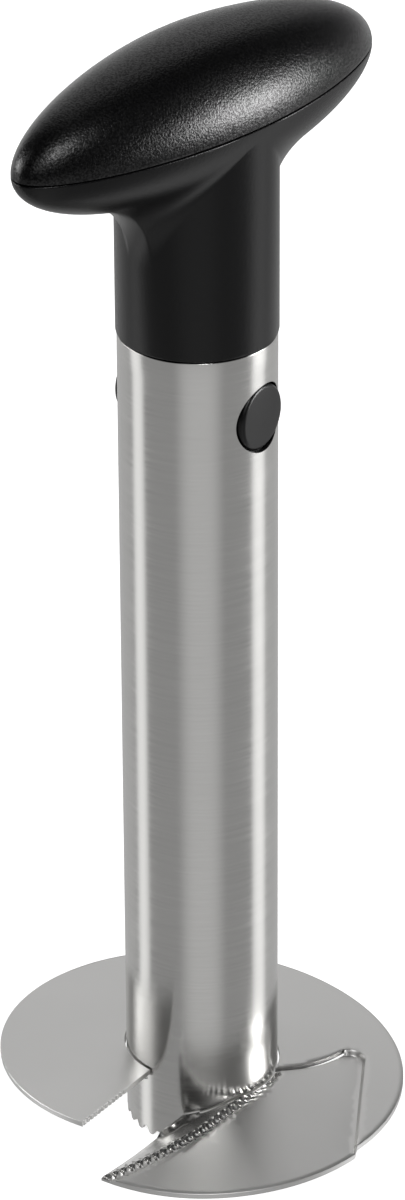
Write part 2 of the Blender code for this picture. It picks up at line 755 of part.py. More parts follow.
def even_ring(radii, level):
    return grip_ring(radii, [level] * GRIP_COLUMNS)


def inset_outline(inset):
    return [plan_radius(a, GRIP_HALF_LENGTH - inset, GRIP_HALF_WIDTH - inset) for a in grip_angles()]


def dome_rings(radii, level, height, shares):
    rings = []
    for share in shares:
        rings.append(even_ring([r * share for r in radii], level + height * dome(share)))
    return rings


def belly_rings(outline):
    """The neck's fillet and the grip's underside, out to the parting line."""
    rings = []
    widths = [min(NECK_FILLET, (r - NECK_RADIUS) / 2) for r in outline]

    def underside(radius, edge):
        return SEAM_LEVEL - GRIP_BELLY * dome(radius / edge)

    for row in range(FILLET_ROWS):
        share = (row / (FILLET_ROWS - 1)) ** 2
        radii, levels = [], []
        for edge, width in zip(outline, widths):
            radius = NECK_RADIUS + width * share
            drop = width * NECK_FILLET_DROP_SHARE * (1 - math.sqrt(1 - (1 - share) ** 2))
            radii.append(radius)
            levels.append(underside(radius, edge) - drop)
        rings.append(grip_ring(radii, levels))
    for row in range(1, BELLY_ROWS + 1):
        radii, levels = [], []
        for edge, width in zip(outline, widths):
            start = math.asin((NECK_RADIUS + width) / edge)
            turn = start + (math.pi / 2 - start) * row / BELLY_ROWS
            radii.append(edge * math.sin(turn))
            levels.append(underside(radii[-1], edge))
        if row == BELLY_ROWS:
            levels = [SEAM_LEVEL - SEAM_BREAK] * GRIP_COLUMNS
        rings.append(grip_ring(radii, levels))
    return rings


def cover_screw_places():
    """Name and place of each screw that holds the cover."""
    places = []
    for side, name in ((-1, "left"), (1, "right")):
        places.append((name, polar(COVER_SCREW_SPREAD, 90 * side + GRIP_TURN_DEG)))
    return places


def make_handle_base(plastic):
    outline = inset_outline(0)
    ledge = inset_outline(SHELL_WALL)
    pocket = inset_outline(SHELL_WALL + LEDGE_WIDTH)
    bore = [NECK_BORE_RADIUS] * GRIP_COLUMNS
    rings = [[(0, 0, FLOOR_UNDER)], even_ring(bore, FLOOR_UNDER), even_ring(bore, NECK_BOTTOM)]
    rings.append(even_ring([NECK_RADIUS - NECK_CHAMFER] * GRIP_COLUMNS, NECK_BOTTOM))
    rings.append(even_ring([NECK_RADIUS] * GRIP_COLUMNS, NECK_BOTTOM + NECK_CHAMFER))
    rings += belly_rings(outline)
    rings.append(even_ring([r - SEAM_BREAK for r in outline], SEAM_LEVEL))
    rings.append(even_ring(ledge, SEAM_LEVEL))
    rings.append(even_ring(ledge, RECESS_LEVEL))
    rings.append(even_ring(pocket, RECESS_LEVEL))
    rings += dome_rings(pocket, RECESS_LEVEL, -POCKET_DEPTH, INNER_DOME_SHARES)
    rings.append([(0, 0, FLOOR_TOP)])
    base = mesh_object("handle_base", *loft(rings, poles=True), plastic)
    boss = cylinder_cutter("handle_boss", HANDLE_BOSS_RADIUS, BOSS_BOTTOM,
                           (FLOOR_UNDER + FLOOR_TOP) / 2, SCREW_SIDES, material=plastic)
    combine(base, boss, "UNION")
    hole_top = BOSS_BOTTOM + HANDLE_SCREW_GRIP + CUT_OVERRUN
    hole = cylinder_cutter("handle_boss_hole", HANDLE_SCREW_RADIUS + SEAT_GAP, BOSS_BOTTOM - CUT_OVERRUN,
                           hole_top, SCREW_SIDES, material=plastic)
    combine(base, hole, "DIFFERENCE")
    for name, place in cover_screw_places():
        hole = cylinder_cutter(f"cover_screw_hole_{name}", COVER_SCREW_RADIUS + SEAT_GAP,
                               FLOOR_UNDER - CUT_OVERRUN, FLOOR_TOP + POCKET_DEPTH, SCREW_SIDES,
                               place, plastic)
        combine(base, hole, "DIFFERENCE")


def make_handle_cover(plastic):
    outline = inset_outline(0)
    lip_outer = inset_outline(SHELL_WALL + SEAT_GAP)
    lip_inner = inset_outline(SHELL_WALL + SEAT_GAP + LIP_WALL)
    shares = [math.sin(math.pi / 2 * row / CROWN_ROWS) for row in range(1, CROWN_ROWS)]
    rings = [[(0, 0, COVER_LEVEL + GRIP_CROWN)]]
    rings += dome_rings(outline, COVER_LEVEL, GRIP_CROWN, shares)
    rings.append(even_ring(outline, COVER_LEVEL + SEAM_BREAK))
    rings.append(even_ring([r - SEAM_BREAK for r in outline], COVER_LEVEL))
    rings.append(even_ring(lip_outer, COVER_LEVEL))
    rings.append(even_ring(lip_outer, COVER_LEVEL - LIP_LENGTH))
    rings.append(even_ring(lip_inner, COVER_LEVEL - LIP_LENGTH))
    rings.append(even_ring(lip_inner, COVER_LEVEL))
    rings += dome_rings(lip_inner, COVER_LEVEL, GRIP_CROWN - SHELL_WALL, INNER_DOME_SHARES)
    rings.append([(0, 0, COVER_LEVEL + GRIP_CROWN - SHELL_WALL)])
    cover = mesh_object("handle_cover", *loft(rings, poles=True), plastic)
    spread_share = COVER_SCREW_SPREAD / GRIP_HALF_LENGTH
    roof = COVER_LEVEL + (GRIP_CROWN - SHELL_WALL) * dome(spread_share) + SHELL_WALL / 2
    pocket_edge = inset_outline(SHELL_WALL + LEDGE_WIDTH)[GRIP_COLUMNS // 4]
    floor = RECESS_LEVEL - POCKET_DEPTH * dome((COVER_SCREW_SPREAD + COVER_BOSS_RADIUS) / pocket_edge)
    for name, center in cover_screw_places():
        boss = cylinder_cutter(f"cover_boss_{name}", COVER_BOSS_RADIUS, floor + COVER_BOSS_GAP, roof,
                               SCREW_SIDES, center, plastic)
        combine(cover, boss, "UNION")
        hole = cylinder_cutter(f"cover_boss_hole_{name}", COVER_SCREW_RADIUS + SEAT_GAP,
                               floor, FLOOR_UNDER + COVER_SCREW_LENGTH + CUT_OVERRUN, SCREW_SIDES,
                               center, plastic)
        combine(cover, hole, "DIFFERENCE")


def make_screw(name, radius, length, head_radius, head_height, center, seat, material):
    """A screw that points up, with its head's upper face a seat gap under a seat level."""
    bearing = seat - SEAT_GAP
    flat_share, side_share = HEAD_ROUND_SHARES
    profile = [(0, bearing - head_height), (head_radius * flat_share, bearing - head_height),
               (head_radius, bearing - head_height * side_share), (head_radius, bearing),
               (radius, bearing), (radius, bearing + length - radius),
               (radius * TIP_SHARE, bearing + length), (0, bearing + length)]
    screw = turned(name, profile, SCREW_SIDES, material)
    screw.location = (*center, 0)
    socket = cylinder_cutter(f"{name}_socket", head_radius * SOCKET_SHARE,
                             bearing - head_height - CUT_OVERRUN, bearing - head_height * SOCKET_SHARE,
                             SOCKET_SIDES, center, material)
    combine(screw, socket, "DIFFERENCE")


# Locking plug and buttons

def make_plug_body(plastic):
    profile = [(0, PLUG_BOTTOM), (PLUG_RADIUS, PLUG_BOTTOM), (PLUG_RADIUS, PLUG_SHOULDER),
               (NECK_BORE_RADIUS - SEAT_GAP, PLUG_SHOULDER), (NECK_BORE_RADIUS - SEAT_GAP, PLUG_TOP),
               (0, PLUG_TOP)]
    plug = turned("plug_body", profile, PLUG_SIDES, plastic)
    cavity_top = BUTTON_LEVEL + PLUG_CAVITY_ABOVE_BUTTON
    cavity = box_shape("plug_cavity", (-PLUG_CAVITY_HALF_X, -PLUG_CAVITY_HALF_Y, PLUG_BOTTOM - CUT_OVERRUN),
                       (PLUG_CAVITY_HALF_X, PLUG_CAVITY_HALF_Y, cavity_top), plastic)
    reach = PLUG_RADIUS + CUT_OVERRUN
    windows = side_cylinder("plug_windows", BUTTON_RADIUS + SLIDE_GAP, -reach, reach, BUTTON_SIDES,
                            BUTTON_LEVEL, plastic)
    hole = cylinder_cutter("plug_screw_hole", HANDLE_SCREW_RADIUS + SEAT_GAP, BUTTON_LEVEL,
                           PLUG_TOP + CUT_OVERRUN, SCREW_SIDES, material=plastic)
    for tool in (cavity, windows, hole):
        combine(plug, tool, "DIFFERENCE")


def make_plug_cap(plastic):
    cap = turned("plug_cap", [(0, CAP_BOTTOM), (PLUG_RADIUS, CAP_BOTTOM), (PLUG_RADIUS, CAP_TOP),
                              (0, CAP_TOP)], PLUG_SIDES, plastic)
    inner_x, inner_y = PLUG_CAVITY_HALF_X - SEAT_GAP, PLUG_CAVITY_HALF_Y - SEAT_GAP
    middle = (CAP_BOTTOM + CAP_TOP) / 2
    register = box_shape("cap_register", (-inner_x, -inner_y, middle),
                         (inner_x, inner_y, CAP_TOP + CAP_REGISTER_HEIGHT), plastic)
    pillar = box_shape("cap_pillar", (-PILLAR_HALF_X, -PILLAR_HALF_Y, middle + CUT_OVERRUN / 2),
                       (PILLAR_HALF_X, PILLAR_HALF_Y, BUTTON_LEVEL + PILLAR_ABOVE_BUTTON), plastic)
    reach = PILLAR_HALF_X + SPRING_SPIGOT_LENGTH
    spigots = side_cylinder("cap_spigots", SPRING_SPIGOT_RADIUS, -reach, reach, SCREW_SIDES,
                            BUTTON_LEVEL, plastic)
    for tool in (register, pillar, spigots):
        combine(cap, tool, "UNION")
    hole = cylinder_cutter("cap_screw_hole", HANDLE_SCREW_RADIUS + SEAT_GAP, CAP_BOTTOM - CUT_OVERRUN,
                           BUTTON_LEVEL + PILLAR_ABOVE_BUTTON + CUT_OVERRUN, SCREW_SIDES, material=plastic)
    recess = cylinder_cutter("cap_head_recess", HANDLE_SCREW_HEAD_RADIUS + SEAT_GAP,
                             CAP_BOTTOM - CUT_OVERRUN, CAP_BOTTOM + HANDLE_SCREW_HEAD_HEIGHT + SEAT_GAP,
                             SCREW_SIDES, material=plastic)
    for tool in (hole, recess):
        combine(cap, tool, "DIFFERENCE")


def make_button(name, side, plastic):
    """A round button with a retaining flange and a spring pocket, modelled along its own +Z."""
    edge = BUTTON_CROWN_RADIUS - BUTTON_FACE_FALL
    rounding = BUTTON_EDGE_ROUNDING
    profile = [(0, BUTTON_CROWN_RADIUS)]
    flat_radius = BUTTON_RADIUS - rounding
    for share in BUTTON_FACE_SHARES:
        profile.append((flat_radius * share, BUTTON_CROWN_RADIUS - BUTTON_FACE_FALL * share * share))
    for step in range(1, BUTTON_ROUNDING_STEPS + 1):
        turn = math.pi / 2 * step / BUTTON_ROUNDING_STEPS
        profile.append((flat_radius + rounding * math.sin(turn), edge - rounding * (1 - math.cos(turn))))
    pocket_end = BUTTON_CROWN_RADIUS - BUTTON_FACE_THICKNESS
    profile += [(BUTTON_RADIUS, FLANGE_FACE), (BUTTON_FLANGE_RADIUS, FLANGE_FACE),
                (BUTTON_FLANGE_RADIUS, FLANGE_BACK), (SPRING_POCKET_RADIUS, FLANGE_BACK),
                (SPRING_POCKET_RADIUS, pocket_end), (0, pocket_end)]
    button = turned(name, profile, BUTTON_SIDES, plastic)
    button.rotation_euler = (0, side * math.pi / 2, 0)
    button.location = (0, 0, BUTTON_LEVEL)


def spring_points():
    """A compression spring along +Z whose end turns lie closer together."""
    length = SPRING_OUTER_END - SPRING_INNER_END - 2 * SPRING_WIRE_RADIUS
    count = SPRING_TURNS * SPRING_POINTS_PER_TURN
    points = []
    for i in range(count + 1):
        share = i / count
        soft = share - SPRING_END_CLOSING_SHARE * math.sin(2 * math.pi * share)
        angle = 2 * math.pi * SPRING_TURNS * share
        points.append(Vector((SPRING_COIL_RADIUS * math.cos(angle), SPRING_COIL_RADIUS * math.sin(angle),
                              SPRING_INNER_END + SPRING_WIRE_RADIUS + length * soft)))
    return points


def least_spring_gap(points):
    """The least gap between one turn's wire and the next."""
    turn = SPRING_POINTS_PER_TURN
    least = min((points[i] - points[i + turn]).length for i in range(len(points) - turn))
    return least - 2 * SPRING_WIRE_RADIUS


def make_spring(name, side, steel):
    points = spring_points()
    curve = bpy.data.curves.new(name, "CURVE")
    curve.dimensions = "3D"
    curve.bevel_depth = SPRING_WIRE_RADIUS
    curve.bevel_resolution = 1
    curve.use_fill_caps = True
    spline = curve.splines.new("POLY")
    spline.points.add(len(points) - 1)
    for spot, point in zip(spline.points, points):
        spot.co = (*point, 1)
    spring = add_object(name, curve, steel)
    spring.rotation_euler = (0, side * math.pi / 2, 0)
    spring.location = (0, 0, BUTTON_LEVEL)
    print(f"{name}: least gap between turns {least_spring_gap(points) * 1000:.2f} mm")


def main():
    clear_scene()
    steel = make_material("brushed_steel", (0.62, 0.61, 0.59), 1, 0.3)
    blade_steel = make_material("blade_steel", (0.66, 0.65, 0.64), 1, 0.35)
    plastic = make_material("black_plastic", (0.018, 0.018, 0.02), 0, 0.4)
    inner_plastic = make_material("plug_plastic", (0.03, 0.03, 0.032), 0, 0.5)
    screw_steel = make_material("zinc_steel", (0.55, 0.55, 0.56), 1, 0.35)
    make_core_tube(steel)
    make_slicing_blade(blade_steel)
    make_weld_tacks(blade_steel)
    make_handle_base(plastic)
    make_handle_cover(plastic)
    make_plug_body(inner_plastic)
    make_plug_cap(inner_plastic)
    seat = CAP_BOTTOM + HANDLE_SCREW_HEAD_HEIGHT + SEAT_GAP
    make_screw("handle_screw", HANDLE_SCREW_RADIUS, BOSS_BOTTOM + HANDLE_SCREW_GRIP - seat,
               HANDLE_SCREW_HEAD_RADIUS, HANDLE_SCREW_HEAD_HEIGHT, (0, 0), seat, screw_steel)
    for name, place in cover_screw_places():
        make_screw(f"cover_screw_{name}", COVER_SCREW_RADIUS, COVER_SCREW_LENGTH, COVER_SCREW_HEAD_RADIUS,
                   COVER_SCREW_HEAD_HEIGHT, place, FLOOR_UNDER, screw_steel)
    for side, name in ((1, "front"), (-1, "back")):
        make_button(f"release_button_{name}", side, plastic)
        make_spring(f"button_spring_{name}", side, screw_steel)


main()
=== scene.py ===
"""Looks of the pineapple slicer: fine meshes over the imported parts, materials, studio and camera."""

import math

import bpy
import bmesh
import numpy as np
from mathutils import Matrix, Vector
from mathutils.geometry import delaunay_2d_cdt


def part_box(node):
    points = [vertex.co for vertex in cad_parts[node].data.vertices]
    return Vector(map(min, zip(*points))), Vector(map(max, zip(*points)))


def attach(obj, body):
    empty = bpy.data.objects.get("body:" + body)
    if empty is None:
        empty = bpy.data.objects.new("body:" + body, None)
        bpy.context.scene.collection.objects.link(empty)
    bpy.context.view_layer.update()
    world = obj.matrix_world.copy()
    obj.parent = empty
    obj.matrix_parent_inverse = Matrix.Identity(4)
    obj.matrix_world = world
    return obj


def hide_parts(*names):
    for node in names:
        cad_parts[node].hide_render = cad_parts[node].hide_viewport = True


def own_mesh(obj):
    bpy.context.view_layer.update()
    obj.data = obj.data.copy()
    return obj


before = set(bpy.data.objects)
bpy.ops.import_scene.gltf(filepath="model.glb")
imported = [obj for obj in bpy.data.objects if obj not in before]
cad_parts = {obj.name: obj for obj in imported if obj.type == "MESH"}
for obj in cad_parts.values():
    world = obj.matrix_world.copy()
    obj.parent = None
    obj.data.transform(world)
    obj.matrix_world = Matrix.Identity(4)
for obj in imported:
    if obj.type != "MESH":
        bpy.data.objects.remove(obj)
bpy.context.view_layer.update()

# General clearances
SEAT_GAP = 0.0003        # between pieces that rest on each other
SHARP_EDGE_DEG = 40      # edges that turn more than this are shaded sharp
CUT_OVERRUN = 0.001      # how far a cutter runs past the face that it cuts

# Core tube
TUBE_RADIUS = 0.016
TUBE_WALL = 0.0008
FOOT_TOOTH_COUNT = 29
FOOT_TOOTH_DEPTH = 0.0014
COLUMNS_PER_FOOT_TOOTH = 12

# Slicing blade: a slit ring, dished up towards the tube and climbing around it
BLADE_RADIUS = 0.0427
BLADE_THICKNESS = 0.0012
BLADE_BORE_GAP = 0.00035
BLADE_RIM_LOW = 0.0078       # top of the rim where the climb starts
BLADE_RIM_HIGH = 0.0188      # top of the rim at the trailing tip
BLADE_BORE_LOW = 0.01205     # top of the bore's edge where its climb starts
BLADE_BORE_HIGH = 0.0166     # top of the bore's edge behind the tube
RIM_CLIMB_START_DEG = 65
BORE_CLIMB_START_DEG = 35
BORE_CLIMB_END_DEG = 215
CLIMB_EASE_DEG = 25
TRAIL_INNER_DEG = 263
TRAIL_OUTER_DEG = 269.6
TRAIL_NOTCH_PITCH = 0.0014
TRAIL_NOTCH_DEPTH = 0.0004
TRAIL_NOTCHED_SHARE = 0.62   # of the trailing end, from its tip

# The cutting tongue, pressed down out of the ring
TONGUE_DROP_RIM = 0.0017
TONGUE_DROP_BORE = 0.0005
TONGUE_BEND_WIDTH = 0.0009
TONGUE_CORNER_RADIUS = 0.003
TONGUE_TIP_DEG = -84.5
EDGE_INNER_DEG = -70         # where the straight cutting edge meets the bore
TONGUE_TIP_LIFT = 0.0009
TONGUE_LIFT_START_DEG = -51
BEND_RIM_DEG = -6
BEND_TOP_DEG = 41.9
BEND_TOP_RADIUS = 0.0353
SLIT_START_DEG = 16.5
SLIT_AIM_DEG = 46.3          # the slit runs towards this place and ends at the bend's corner
SLIT_AIM_RADIUS = 0.0329
SLIT_BOW = 0.0015
SLIT_WIDTH = 0.0004

# Ground edge of the tongue: a band of flutes leads down to a bevel with a straight cutting edge
FLUTES_LEAVE_TUBE_DEG = 0.5
FLUTE_BOW_RADIUS = 0.086
FLUTE_TUBE_GAP = 0.0004
FLUTE_PITCH = 0.0019
FLUTE_REACH = 0.0015
FLUTE_RIDGE_SHARE = 0.85
FLUTE_HOLLOW = 0.0005
FLUTE_DROP = 0.0004          # from the tongue's top to the bevel
LIP_TURN_DEG = 26            # how far the tongue turns down beyond the flutes
BEVEL_WIDTH = 0.0056         # over which the bevel thins to the edge
EDGE_THICKNESS = 0.0003

# Triangulation of the blade
BLADE_STEP_DEG = 1.5
BLADE_GRID_SPACING = 0.0011
BEND_CORNER_STEPS = 14
BEND_GUIDE_SHARES = (0, 0.15, 0.32, 0.5, 0.68, 0.85, 1)
GUIDE_CLEARANCE = 0.0002     # of the guide lines from the outline

# Weld tacks under the blade
TACK_LENGTH = 0.005
TACK_WIDTH = 0.0014
TACK_HEIGHT = 0.0011
TACK_DEGREES = (77, 142, 207, 254)

# Handle: neck and grip
NECK_RADIUS = 0.01625
NECK_BORE_RADIUS = 0.0123
NECK_CHAMFER = 0.0004
GRIP_TURN_DEG = -8            # of the grip's long side from Y
SEAM_HEIGHT = 0.0476         # of the grip's parting line above the tube's top
GRIP_HALF_LENGTH = 0.049
GRIP_HALF_WIDTH = 0.0166
GRIP_CROWN = 0.0165          # height of the cover above the parting line
GRIP_BELLY = 0.0154          # depth of the base below the parting line
GRIP_TIP_SLIM_SHARE = 0.16   # how much leaner than an ellipse the plan is at its tips
DOME_POWER_SHARE = 0.53
INNER_DOME_SHARES = (0.95, 0.8, 0.5)
OUTLINE_HALVINGS = 40        # steps of the search for the outline's radius
NECK_FILLET = 0.013
NECK_FILLET_DROP_SHARE = 1.1
SEAM_BREAK = 0.0003
SHELL_WALL = 0.0024
LIP_LENGTH = 0.0018
LIP_WALL = 0.0012
LEDGE_WIDTH = 0.0018
POCKET_DEPTH = 0.005
FLOOR_THICKNESS = 0.0035
GRIP_COLUMNS = 192
FILLET_ROWS = 14
BELLY_ROWS = 18
CROWN_ROWS = 28

# Screws
HANDLE_SCREW_RADIUS = 0.002
HANDLE_SCREW_GRIP = 0.012    # length held by the boss in the neck
HANDLE_BOSS_RADIUS = 0.0045
COVER_SCREW_RADIUS = 0.0012
COVER_SCREW_LENGTH = 0.010
COVER_SCREW_SPREAD = 0.0085  # from the axis to each screw
COVER_BOSS_RADIUS = 0.003
COVER_BOSS_GAP = 0.0009      # over the base's floor

# Release buttons
BUTTON_DEPTH_BELOW_TOP = 0.0152
BUTTON_RADIUS = 0.0069
BUTTON_HOLE_GAP = 0.0004
BUTTON_CROWN_RADIUS = 0.0160  # from the tube's axis to the crown of the button's face
BUTTON_FACE_FALL = 0.0003
BUTTON_EDGE_ROUNDING = 0.0009
BUTTON_FLANGE_RADIUS = 0.0083
BUTTON_FLANGE_THICKNESS = 0.0015
BUTTON_TRAVEL = 0.0028       # until the flange meets the pillar between the buttons
SPRING_POCKET_RADIUS = 0.0036
BUTTON_FACE_THICKNESS = 0.003

# Locking plug under the handle
PLUG_SPIGOT_LENGTH = 0.006
PLUG_CAVITY_HALF_X = 0.0108

# Springs behind the buttons
SPRING_WIRE_RADIUS = 0.0003
SPRING_COIL_RADIUS = 0.0026
SPRING_TURNS = 5
SPRING_END_CLOSING_SHARE = 0.06  # how much closer the end turns lie

# Fine detail
HOLE_SIDES = 64
TUBE_ROW = 0.001             # height of the tube's rows around the button holes
TUBE_LONG_ROW = 0.012
TUBE_TOP_ROUND = 0.0001
TUBE_TOP_SHARES = (0, 0.3, 0.7, 1)
HOLE_ZONE_HALF = 0.01        # reach of the close rows above and below the buttons' middle
NECK_EDGE_SHARES = (0, 0.35, 0.7, 1)
SEAM_ROUND_SHARES = (0.2, 0.4, 0.6, 0.8, 1)
COVER_SEAM_BREAK = 0.0001
NOTCH_STEPS = 10             # points along one pitch of the trailing end's notches
FLUTE_STEPS = 12             # points along one flute
FLUTE_LINE_SHARES = (-1, -0.7, -0.35, 0, 0.35, 0.7, 1)
SLIT_LINE_STEPS = 24
PLAN_TOLERANCE_SHARE = 0.01  # of the seat gap, within which flat points count as one
# The second slot holds the slit walls' darkened steel, which paints the shade in the slit's gap.
GROUND_SLOT, SLIT_PAINTED_SHADE_SLOT = 1, 2  # the blade's materials beside the satin one
SHEET_EDGE_BREAK = 0.00008
BUTTON_FACE_ROWS = 8
BUTTON_EDGE_ROWS = 6
BUTTON_COLUMNS = 96
SPRING_SIDES = 12
SPRING_STEPS = 32            # points along one turn
TACK_ROWS = 16
TACK_COLUMNS = 32
TACK_RIPPLE_SHARE = 0.07
TACK_RIPPLES = 7

# Places worked out from the sizes
TUBE_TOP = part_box("core_tube")[1].z
TUBE_BORE_RADIUS = TUBE_RADIUS - TUBE_WALL
BLADE_BORE_RADIUS = TUBE_RADIUS + BLADE_BORE_GAP
FLUTE_TUBE_RADIUS = TUBE_RADIUS + FLUTE_TUBE_GAP
NECK_BOTTOM = TUBE_TOP + SEAT_GAP
SEAM_LEVEL = TUBE_TOP + SEAM_HEIGHT
COVER_LEVEL = SEAM_LEVEL + SEAT_GAP
RECESS_LEVEL = SEAM_LEVEL - LIP_LENGTH - SEAT_GAP
FLOOR_TOP = RECESS_LEVEL - POCKET_DEPTH
FLOOR_UNDER = FLOOR_TOP - FLOOR_THICKNESS
BUTTON_LEVEL = TUBE_TOP - BUTTON_DEPTH_BELOW_TOP
BOSS_BOTTOM = NECK_BOTTOM + PLUG_SPIGOT_LENGTH + SEAT_GAP
FLANGE_FACE = PLUG_CAVITY_HALF_X - SEAT_GAP
FLANGE_BACK = FLANGE_FACE - BUTTON_FLANGE_THICKNESS
SPRING_INNER_END = FLANGE_BACK - BUTTON_TRAVEL
SPRING_OUTER_END = BUTTON_CROWN_RADIUS - BUTTON_FACE_THICKNESS - SEAT_GAP

# Looks. Waves are per metre, and a spread is a share of the colour.
NOISE_RANGE = (0.3, 0.7)     # the part of a noise's values that is spread over its effect
GLOSS_NOISE_RANGE = (0.35, 0.65)
NOISE_DETAIL = 3.0
STEEL_PATCH_WAVES = 120
STEEL_SCRATCH_SHARE = 0.7    # the rest comes from the patches
STEEL_RELIEF = 0.00003
TUBE_SCRATCH_WAVES = 100
TUBE_SCRATCH_STRETCH = (1, 1, 25)
TUBE_STEEL_COLOR = (0.66, 0.655, 0.64)
TUBE_STEEL_ROUGHNESS = (0.16, 0.24)
TUBE_STEEL_SPREAD = 0.1
TUBE_STEEL_BUMP = 0.2
TUBE_STEEL_ANISOTROPY = 0.6
TUBE_STEEL_ANISOTROPY_TURN = 0.25
BLADE_SCRATCH_WAVES = 900
BLADE_SCRATCH_STRETCH = (0.25, 2.5, 1)
GROUND_SCRATCH_STRETCH = (1.6, 0.3, 1)
BLADE_STEEL_COLOR = (0.7, 0.695, 0.685)
BLADE_STEEL_SPREAD = 0.02
BLADE_STEEL_ROUGHNESS = (0.38, 0.44)
GROUND_STEEL_SPREAD = 0.03
GROUND_STEEL_ROUGHNESS = (0.2, 0.26)
# The slit's walls: rough shear-cut steel whose colour is darkened, painted shade of the slit's gap.
SLIT_PAINTED_SHADE_COLOR = (0.3, 0.297, 0.29)
SHEARED_STEEL_SPREAD = 0.05
SHEARED_STEEL_ROUGHNESS = (0.45, 0.6)
SHEARED_STEEL_BUMP = 0.05
FASTENER_WAVES = 1500
FASTENER_COLOR = (0.6, 0.6, 0.61)
FASTENER_SPREAD = 0.06
FASTENER_ROUGHNESS = (0.18, 0.26)
FASTENER_BUMP = 0.1
EVEN_STRETCH = (1, 1, 1)
HANDLE_COLOR = (0.002, 0.002, 0.0022)
HANDLE_ROUGHNESS = 0.25
HANDLE_SPECULAR = 0.34
HANDLE_GRAIN_WAVES = 2350
HANDLE_GRAIN_DEPTH = 0.00007
HANDLE_SPECKLE = 0.5         # how much the gloss varies from grain to grain
NECK_SPECULAR = 0.28
NECK_GRAIN_DEPTH = 0.00005
BUTTON_COLOR = (0.002, 0.002, 0.0022)
BUTTON_ROUGHNESS = 0.32
BUTTON_GRAIN_WAVES = 3000
BUTTON_GRAIN_DEPTH = 0.00001
PLUG_COLOR = (0.012, 0.012, 0.013)
PLUG_ROUGHNESS = 0.42
PLUG_GRAIN_DEPTH = 0.00002
PLASTIC_CLOUD_WAVES = 60
PLASTIC_CLOUD_SPREAD = 0.25
PLASTIC_ROUGHNESS_SPREAD = 0.08

# Studio: azimuth, half width, side blur, lowest and highest elevation in degrees, and brightness
WORLD_DIM = 0.03
WORLD_LOW = 0.32             # brightness added below the horizon
PANEL_END_BLUR_DEG = 7
LEAST_LEVEL_LENGTH = 0.001   # keeps the azimuth sound straight up and down
PANELS = (
    (34, 9, 8, -3, 14, 23.0),
    (42, 9, 9, -80, -6, 0.75),
    (38, 7, 6, 15, 38, 0.8),
    (-163, 7, 6, 10, 18, 17.0),
    (-151, 7, 8, -80, -4, 0.75),
    (-147, 6, 6, -4, 38, 2.6),
    (128, 32, 10, 10, 78, 0.64),
    (125, 42, 15, -14, 10, 0.5),
    (-60, 20, 10, 24, 76, 0.85),
    (-53, 14, 24, -90, -8, 0.24),
    (120, 75, 20, -90, -8, 0.15),
)

# Lamps: name, azimuth, elevation, distance, size and power
LAMPS = (
    ("key_right", 33, 6, 0.9, (0.3, 0.25), 0.9),
    ("fill_left", -172, 15, 1.0, (0.25, 0.25), 0.6),
    ("small_front", -42, 55, 1.0, (0.2, 0.2), 1.8),
)

# Floor
FLOOR_HALF_SIZE = 3.0
FLOOR_GAP = 0.0002
FLOOR_COLOR = (0.9, 0.9, 0.9)
FLOOR_GLOW = 0.85

# Camera, fitted to the photo: tilted down, with a slight roll and yaw
CAMERA_ORBIT_DEG = 35
CAMERA_DISTANCE = 0.98573
CAMERA_HEIGHT = 0.66631
CAMERA_PITCH = 0.5043
CAMERA_ROLL = -0.0066
CAMERA_YAW = 0.0006
CAMERA_SENSOR = 36
CAMERA_FOCAL_SHARE = 4.63361     # focal length as a share of the picture's height


# Mesh tools

def mesh_piece(name, verts, faces, materials, body, slot):
    """A closed smooth mesh that rides on a body, with its faces pointing out."""
    mesh = bpy.data.meshes.new(name)
    shape = bmesh.new()
    points = [shape.verts.new(v) for v in verts]
    for face in faces:
        shape.faces.new([points[i] for i in face])
    bmesh.ops.recalc_face_normals(shape, faces=shape.faces)
    if shape.calc_volume(signed=True) < 0:
        bmesh.ops.reverse_faces(shape, faces=shape.faces)
    shape.to_mesh(mesh)
    shape.free()
    piece = bpy.data.objects.new(name, mesh)
    bpy.context.scene.collection.objects.link(piece)
    for material in materials:
        mesh.materials.append(material)
    smooth(mesh)
    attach(piece, body)
    return piece


def smooth(mesh):
    mesh.shade_smooth()
    mesh.set_sharp_from_angle(angle=math.radians(SHARP_EDGE_DEG))


def loft(rings, poles=False):
    """Joins rings of points, each with the same count. Poles: the first and last are single points."""
    inner = rings[1:-1] if poles else rings
    count = len(inner[0])
    verts = [point for ring in inner for point in ring]
    faces = []
    for row in range(len(inner) - 1):
        for i in range(count):
            j = (i + 1) % count
            faces.append((row * count + i, row * count + j, (row + 1) * count + j, (row + 1) * count + i))
    tail = (len(inner) - 1) * count
    if poles:
        first, last = len(verts), len(verts) + 1
        verts += [rings[0][0], rings[-1][0]]
    for i in range(count):
        j = (i + 1) % count
        if poles:
            faces.append((first, j, i))
            faces.append((last, tail + i, tail + j))
        else:
            faces.append((i, j, tail + j, tail + i))
    return verts, faces


def turned_rings(profile, sides):
    """Turns (radius, height) points around Z."""
    rings = []
    for radius, height in profile:
        ring = []
        for i in range(sides if radius else 1):
            angle = 2 * math.pi * i / sides
            ring.append((radius * math.cos(angle), radius * math.sin(angle), height))
        rings.append(ring)
    return rings


def along_x(rings, side, level):
    """Lays rings that were turned around Z along +X or -X, at a level above the foot."""
    return [[(side * z, side * y, level + x) for x, y, z in ring] for ring in rings]


def cutter(rings):
    """A closed hidden shape for a Boolean."""
    mesh = bpy.data.meshes.new("cutter")
    verts, faces = loft(rings, poles=True)
    mesh.from_pydata(verts, [], faces)
    shape = bmesh.new()
    shape.from_mesh(mesh)
    bmesh.ops.recalc_face_normals(shape, faces=shape.faces)
    shape.to_mesh(mesh)
    shape.free()
    item = bpy.data.objects.new("cutter", mesh)
    bpy.context.scene.collection.objects.link(item)
    return item


def column(radius, low, high, center=(0, 0)):
    """Rings of an upright cylinder."""
    profile = [(0, low), (radius, low), (radius, high), (0, high)]
    rings = turned_rings(profile, HOLE_SIDES)
    return [[(x + center[0], y + center[1], z) for x, y, z in ring] for ring in rings]


